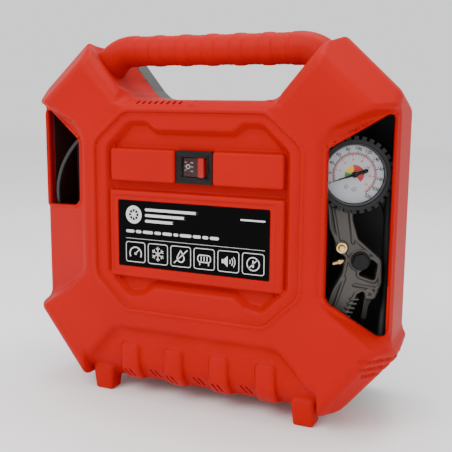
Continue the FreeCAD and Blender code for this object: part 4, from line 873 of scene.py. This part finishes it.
def label_faces():
    """Air stream emblem, two rows of bars and six boxed pictograms."""
    faces = []
    faces += arc_band(-62.5, 184.5, 5.2, 8.6) + arc_band(-62.5, 184.5, 0.0, 2.6)
    for k in range(8):
        a = math.radians(45 * k + 22)
        faces += bar(-62.5 + 3.0 * math.cos(a), 184.5 + 3.0 * math.sin(a),
                     -62.5 + 5.4 * math.cos(a), 184.5 + 5.4 * math.sin(a), 0.9)
    for row, (x1, w) in enumerate(((4.0, 2.6), (-8.0, 2.6), (-20.0, 2.6))):
        z = 190.0 - 5.4 * row
        faces += bar(-49.0, z, x1, z, w)
        faces += arc_band(x1, z, 0.0, 1.3)
    faces += bar(48.0, 187.5, 70.5, 187.5, 1.5)
    x = -71.0
    for width in (9, 6, 11, 7, 10, 5, 12, 8, 6, 9):
        faces += bar(x + 1.4, 168.5, x + width - 1.4, 168.5, 2.8)
        x += width + 1.6
    faces += bar(-71.0, 161.6, 71.0, 161.6, 0.35)
    for i in range(6):
        x0 = -71.6 + 24.2 * i
        faces += frame_band(x0, x0 + 21.4, 138.6, 158.4, 2.6, 0.7)
    c = [-71.6 + 24.2 * i + 10.7 for i in range(6)]
    zc = 148.5
    faces += arc_band(c[0], zc - 1.5, 5.6, 6.8, -30, 210) + bar(c[0], zc - 1.5, c[0] + 3.6, zc + 2.4, 1.0)
    faces += arc_band(c[0], zc - 1.5, 0.0, 1.3)
    for k in range(3):
        a = math.radians(60 * k + 30)
        faces += bar(c[1] - 6.5 * math.cos(a), zc - 6.5 * math.sin(a), c[1] + 6.5 * math.cos(a),
                     zc + 6.5 * math.sin(a), 0.9)
    for k in range(6):
        a = math.radians(60 * k + 30)
        for turn in (-0.5, 0.5):
            x1, z1 = c[1] + 3.8 * math.cos(a), zc + 3.8 * math.sin(a)
            b = a + turn * 1.6
            faces += bar(x1, z1, x1 + 2.4 * math.cos(b), z1 + 2.4 * math.sin(b), 0.7)
    faces += arc_band(c[2], zc - 1.6, 3.0, 4.2, 150, 390)
    faces += bar(c[2] - 3.1, zc + 0.3, c[2], zc + 6.0, 1.1) + bar(c[2] + 3.1, zc + 0.3, c[2], zc + 6.0, 1.1)
    faces += bar(c[2] - 6.8, zc - 6.3, c[2] + 6.8, zc + 6.3, 1.0)
    faces += frame_band(c[3] - 7.0, c[3] + 7.0, zc - 3.6, zc + 4.0, 3.2, 1.0)
    for dx in (-3.0, 0.0, 3.0):
        faces += bar(c[3] + dx, zc - 1.6, c[3] + dx, zc + 2.0, 0.9)
    faces += bar(c[3] - 4.5, zc - 5.6, c[3] - 4.5, zc - 4.2, 1.1)
    faces += bar(c[3] + 4.5, zc - 5.6, c[3] + 4.5, zc - 4.2, 1.1)
    box = [(-6.5, -1.8), (-4.0, -1.8), (-4.0, 1.8), (-6.5, 1.8)]
    horn = [(-4.4, -1.8), (-0.6, -5.0), (-0.6, 5.0), (-4.4, 1.8)]
    faces += [[(c[4] + a, zc + b) for a, b in shape] for shape in (box, horn)]
    for r in (3.0, 5.4, 7.6):
        faces += arc_band(c[4] - 1.0, zc, r - 0.4, r + 0.4, -38, 38, 12)
    faces += arc_band(c[5], zc, 5.4, 6.4)
    faces += bar(c[5] - 4.2, zc - 4.2, c[5] + 4.2, zc + 4.2, 0.9) + bar(c[5], zc - 2.5, c[5], zc + 2.5, 1.6)
    return faces


printed("label_print", label_faces(), on_label, "compressor", "print_white")


def on_rocker(a, b):
    """Point on the front of the rocker's left half, which is pressed in."""
    turn = math.radians(-10)
    depth = -3.95 - 1.6 * abs(a) / 11.4
    return metres(SWITCH_X + a * math.cos(turn) - depth * math.sin(turn),
                  PANEL_FLOOR - 0.5 + a * math.sin(turn) + depth * math.cos(turn), SWITCH_Z + b)


rocker_marks = arc_band(-6.0, 0.6, 1.5, 2.1)
for start, end, level, width in ((-9.5, -7.6, 4.6, 0.45), (-9.5, -8.6, 1.0, 0.4), (-9.5, -7.8, -2.6, 0.45),
                                 (-3.4, -1.0, 4.2, 0.5), (-3.2, -0.8, -3.4, 0.5), (-2.8, -1.0, 0.6, 0.5)):
    rocker_marks += bar(start, level, end, level, width)
printed("rocker_marks", rocker_marks, on_rocker, "rocker", "print_white")

# ---- gauge dial and needle ----
def on_dial(a, b):
    return gun_point(a, -0.06, b)


def dial_angle(v, full):
    return 200.0 - 257.0 * v / full


def polar(r, a):
    return (DIAL_R * r * math.cos(math.radians(a)), DIAL_R * r * math.sin(math.radians(a)))


def tick(r0, r1, a, w):
    (x0, z0), (x1, z1) = polar(r0, a), polar(r1, a)
    dx, dz = math.sin(math.radians(a)) * w / 2, -math.cos(math.radians(a)) * w / 2
    return [[(x0 - dx, z0 - dz), (x1 - dx, z1 - dz), (x1 + dx, z1 + dz), (x0 + dx, z0 + dz)]]


def numeral(text, r, a, size, lean=-17.0):
    """Flat mesh faces of a number, centred on a point of the dial."""
    data = bpy.data.curves.new("numeral", "FONT")
    data.body = text
    data.size = size
    data.offset = 0.09
    data.align_x, data.align_y = "CENTER", "CENTER"
    data.resolution_u = 3
    obj = bpy.data.objects.new("numeral", data)
    bpy.context.scene.collection.objects.link(obj)
    bpy.context.view_layer.update()
    mesh = bpy.data.meshes.new_from_object(obj.evaluated_get(bpy.context.evaluated_depsgraph_get()))
    bpy.data.objects.remove(obj)
    cx, cz = polar(r, a)
    c, s = math.cos(math.radians(lean)), math.sin(math.radians(lean))
    pts = [(cx + v.co.x * c - v.co.y * s, cz + v.co.x * s + v.co.y * c) for v in mesh.vertices]
    return [[pts[i] for i in p.vertices] for p in mesh.polygons]


black = arc_band(0, 0, 0.715 * DIAL_R, 0.737 * DIAL_R, -57, 200, 90)
for i in range(45):
    a = dial_angle(i * 5, 220)
    long = i % 4 == 0
    black += tick(0.735, 0.80 if long else 0.775, a, 0.75 if long else 0.4)
for i in range(12):
    black += numeral(str(20 * i), 0.885, dial_angle(20 * i, 220), 3.9)
red = arc_band(0, 0, 0.675 * DIAL_R, 0.7 * DIAL_R, -57, 200, 90)
for i in range(31):
    a = dial_angle(i * 0.5, 15)
    red += tick(0.60 if i % 4 == 0 else 0.64, 0.68, a, 0.6 if i % 4 == 0 else 0.35)
for i in range(8):
    red += numeral(str(2 * i), 0.51, dial_angle(2 * i, 15), 2.9)
printed("dial_black_print", black, on_dial, "compressor", "print_black")
printed("dial_red_print", red + arc_band(0, 0, 0, 0.33 * DIAL_R, -50, 100, 40), on_dial, "compressor",
        "print_red")
printed("dial_yellow_print", arc_band(0, 0, 0, 0.33 * DIAL_R, 100, 165, 20), on_dial, "compressor",
        "print_yellow")
printed("dial_green_print", arc_band(0, 0, 0, 0.33 * DIAL_R, 165, 200, 12), on_dial, "compressor",
        "print_green")
dial_profile = [(0.4, 1.0), (DIAL_R, 1.0), (DIAL_R, 0.25), (DIAL_R - 0.3, 0.0), (0.4, 0.0)]
dial = lathe("gauge_dial_plate", dial_profile, gun_point, 96)
add_piece("gauge_dial_plate", dial, "compressor", "dial_white", ("gauge_dial",))
lean = math.radians(-17)
for side in (-1, 1):
    u, w = 3.4 * side, -12.0
    u, w = u * math.cos(lean) - w * math.sin(lean), u * math.sin(lean) + w * math.cos(lean)
    head = lathe("dial_screw", [(2.1, -0.05), (2.1, -0.35), (1.5, -0.7), (0.4, -0.85)],
                 lambda a, d, b, u=u, w=w: gun_point(u + a, d, w + b), 24)
    label = "left" if side < 0 else "right"
    add_piece("dial_screw_" + label, head, "compressor", "laminations")


def needle_mesh():
    """Slim pointer with a broad round-ended tail, on a domed hub."""
    half = [(21.4, 0.12), (12.0, 0.5), (3.0, 0.95), (0.0, 1.5), (-3.5, 1.5), (-8.0, 1.75), (-10.4, 1.75),
            (-11.6, 1.2), (-12.2, 0.0)]
    outline = half + [(x, -h) for x, h in reversed(half[:-1])]
    a = math.radians(199.0)
    c, s = math.cos(a), math.sin(a)
    work = bmesh.new()
    rings = []
    for depth, shrink in ((-2.0, 0.0), (-2.45, 0.0), (-2.6, 0.12)):
        rings.append([work.verts.new(gun_point(x * c - (h - math.copysign(min(abs(h), shrink), h)) * s, depth,
                                               x * s + (h - math.copysign(min(abs(h), shrink), h)) * c))
                      for x, h in outline])
    n = len(outline)
    for lower, upper in zip(rings, rings[1:]):
        for i in range(n):
            work.faces.new((lower[i], lower[(i + 1) % n], upper[(i + 1) % n], upper[i]))
    work.faces.new(rings[-1])
    work.faces.new(list(reversed(rings[0])))
    hub = lathe("hub", [(1.4, 0.8), (1.4, -1.4), (2.6, -1.4), (2.6, -2.7), (2.2, -3.1), (0.8, -3.2)],
                gun_point, 40)
    work.from_mesh(hub)
    bmesh.ops.recalc_face_normals(work, faces=work.faces)
    mesh = bpy.data.meshes.new("needle")
    work.to_mesh(mesh)
    work.free()
    return mesh


add_piece("gauge_needle_pointer", needle_mesh(), "needle", "needle_black", ("gauge_needle",))

# ---- gun casting ----
GUN_FRONT, GUN_BACK = 4.0, 20.0
CASTING = [(-23, -22), (0.5, -22), (1, -40, 3), (6, -57, 5), (27.5, -75, 6),
           (28, -96, 5), (22.5, -111, 4), (13.5, -111, 2), (12.5, -103, 2), (6.5, -107, 2),
           (-1.5, -126, 3), (-14.5, -133, 3), (-22.5, -123, 3), (-15.5, -103, 5), (-7.5, -88, 6),
           (-4.5, -73, 4), (-13.5, -68, 5), (-14.5, -60, 4), (-20, -48, 3)]
LOOP = [(17.5, -74, 2), (23.5, -79, 2), (21.5, -94, 2), (5.5, -88.5, 2), (10.5, -85, 1)]
BUTTON, KNOB, PIVOT = (-8.5, -64.5), (8.2, -76.0), (17.5, -106.0)


def segment(u, w, a, b):
    ex, ez = b[0] - a[0], b[1] - a[1]
    t = np.clip(((u - a[0]) * ex + (w - a[1]) * ez) / (ex * ex + ez * ez), 0, 1)
    return np.hypot(u - a[0] - t * ex, w - a[1] - t * ez)


def gun_casting(u, d, w):
    edge = inside_outline(u, w, CASTING)
    body = both(both(edge, GUN_FRONT - d, 1.6), d - GUN_BACK, 1.6)
    floor = both(edge + 3.0, d - GUN_FRONT - 1.5, 1.0)
    boss = np.minimum(np.hypot(u - KNOB[0], w - KNOB[1]) - 10.0, np.hypot(u - BUTTON[0], w - BUTTON[1]) - 5.8)
    boss = np.minimum(boss, np.hypot(u - PIVOT[0], w - PIVOT[1]) - 4.4)
    boss = np.minimum(boss, inside_outline(u, w, LOOP) - 2.6)
    body = less(body, both(floor, -boss, 1.0), 0.9)
    ridges = np.minimum(segment(u, w, (-17, -30), (-11, -60)), segment(u, w, (-2.5, -30), (1.5, -60)))
    ridges = np.minimum(ridges, segment(u, w, (-5, -92), (-15, -124)))
    ridges = np.minimum(ridges, segment(u, w, (4, -98), (23, -101)))
    body = either(body, both(np.hypot(ridges, d - GUN_FRONT - 1.4) - 1.4, edge), 1.2)
    body = less(body, both(inside_outline(u, w, LOOP), d - 30), 1.0)
    body = less(body, both(np.hypot(u, w) - DIAL_R - 2, d - 18.5), 0.6)
    body = less(body, brick(u, d, w, 11.5, 40, 7.8, 16.2, -120, -100.5), 0.6)
    body = less(body, both(np.hypot(u - BUTTON[0], w - BUTTON[1]) - 3.6, d - 12))
    body = less(body, both(np.hypot(u - KNOB[0], w - KNOB[1]) - 4.0, d - 10))
    for i in range(5):
        x, z = 4.2 - 1.7 * i, -111.0 - 4.0 * i
        rib = brick(u, d, w, x - 4.2, x + 4.2, GUN_FRONT - 0.8, 19.4, z - 1.0, z + 1.0, 0.8)
        body = either(body, rib, 0.6)
    return body


gun = sculpt("gun_body_casting", gun_casting, (-25, 1, -135), (31, 22, -20), 0.7,
             MATERIALS["cast_aluminium"], gun_point)
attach(gun, "compressor")
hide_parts("gun_body")


# ---- stage, light and camera ----
def area_light(name, at, aim, size, power, colour=(1, 1, 1)):
    lamp = bpy.data.lights.new(name, "AREA")
    lamp.shape = "RECTANGLE"
    lamp.size, lamp.size_y = size
    lamp.energy = power
    lamp.color = colour
    obj = bpy.data.objects.new(name, lamp)
    bpy.context.scene.collection.objects.link(obj)
    obj.location = at
    obj.rotation_euler = (Vector(aim) - Vector(at)).to_track_quat("-Z", "Y").to_euler()


def make_stage():
    mesh = bpy.data.meshes.new("floor")
    mesh.from_pydata([(-4, -4, 0), (4, -4, 0), (4, 4, 0), (-4, 4, 0)], [], [(0, 1, 2, 3)])
    floor = bpy.data.objects.new("floor", mesh)
    bpy.context.scene.collection.objects.link(floor)
    floor.data.materials.append(moulded("floor_paint", (0.93, 0.93, 0.93), 0.7, 0.02, 60.0, vary=0.01))
    world = bpy.data.worlds.new("studio")
    bpy.context.scene.world = world
    world.use_nodes = True
    world.node_tree.nodes["Background"].inputs["Color"].default_value = (1, 1, 1, 1)
    world.node_tree.nodes["Background"].inputs["Strength"].default_value = 1.15
    area_light("key", (-0.5, -1.3, 1.5), (0, 0, 0.2), (1.2, 1.2), 24)
    area_light("fill", (1.5, -1.2, 0.7), (0.05, 0, 0.2), (1.0, 1.4), 6)
    area_light("top", (0.1, 0.2, 1.6), (0, 0, 0.3), (1.0, 0.8), 14)


def make_camera():
    """Camera at a three-quarter view from the right, slightly above."""
    data = bpy.data.cameras.new("camera")
    data.sensor_width = 36.0
    data.lens = 750.0 / 452.0 * data.sensor_width
    cam = bpy.data.objects.new("camera", data)
    bpy.context.scene.collection.objects.link(cam)
    yaw, pitch, roll = 0.42411, 0.16694, 0.008411
    ahead = Vector((-math.sin(yaw) * math.cos(pitch), math.cos(yaw) * math.cos(pitch), -math.sin(pitch)))
    right = ahead.cross(Vector((0, 0, 1))).normalized()
    up = right.cross(ahead)
    right, up = (math.cos(roll) * right + math.sin(roll) * up, -math.sin(roll) * right + math.cos(roll) * up)
    turn = Matrix((right, up, -ahead)).transposed()
    cam.matrix_world = Matrix.Translation(metres(305.9, -600.6, 292.5)) @ turn.to_4x4()
    bpy.context.scene.camera = cam


make_stage()
make_camera()
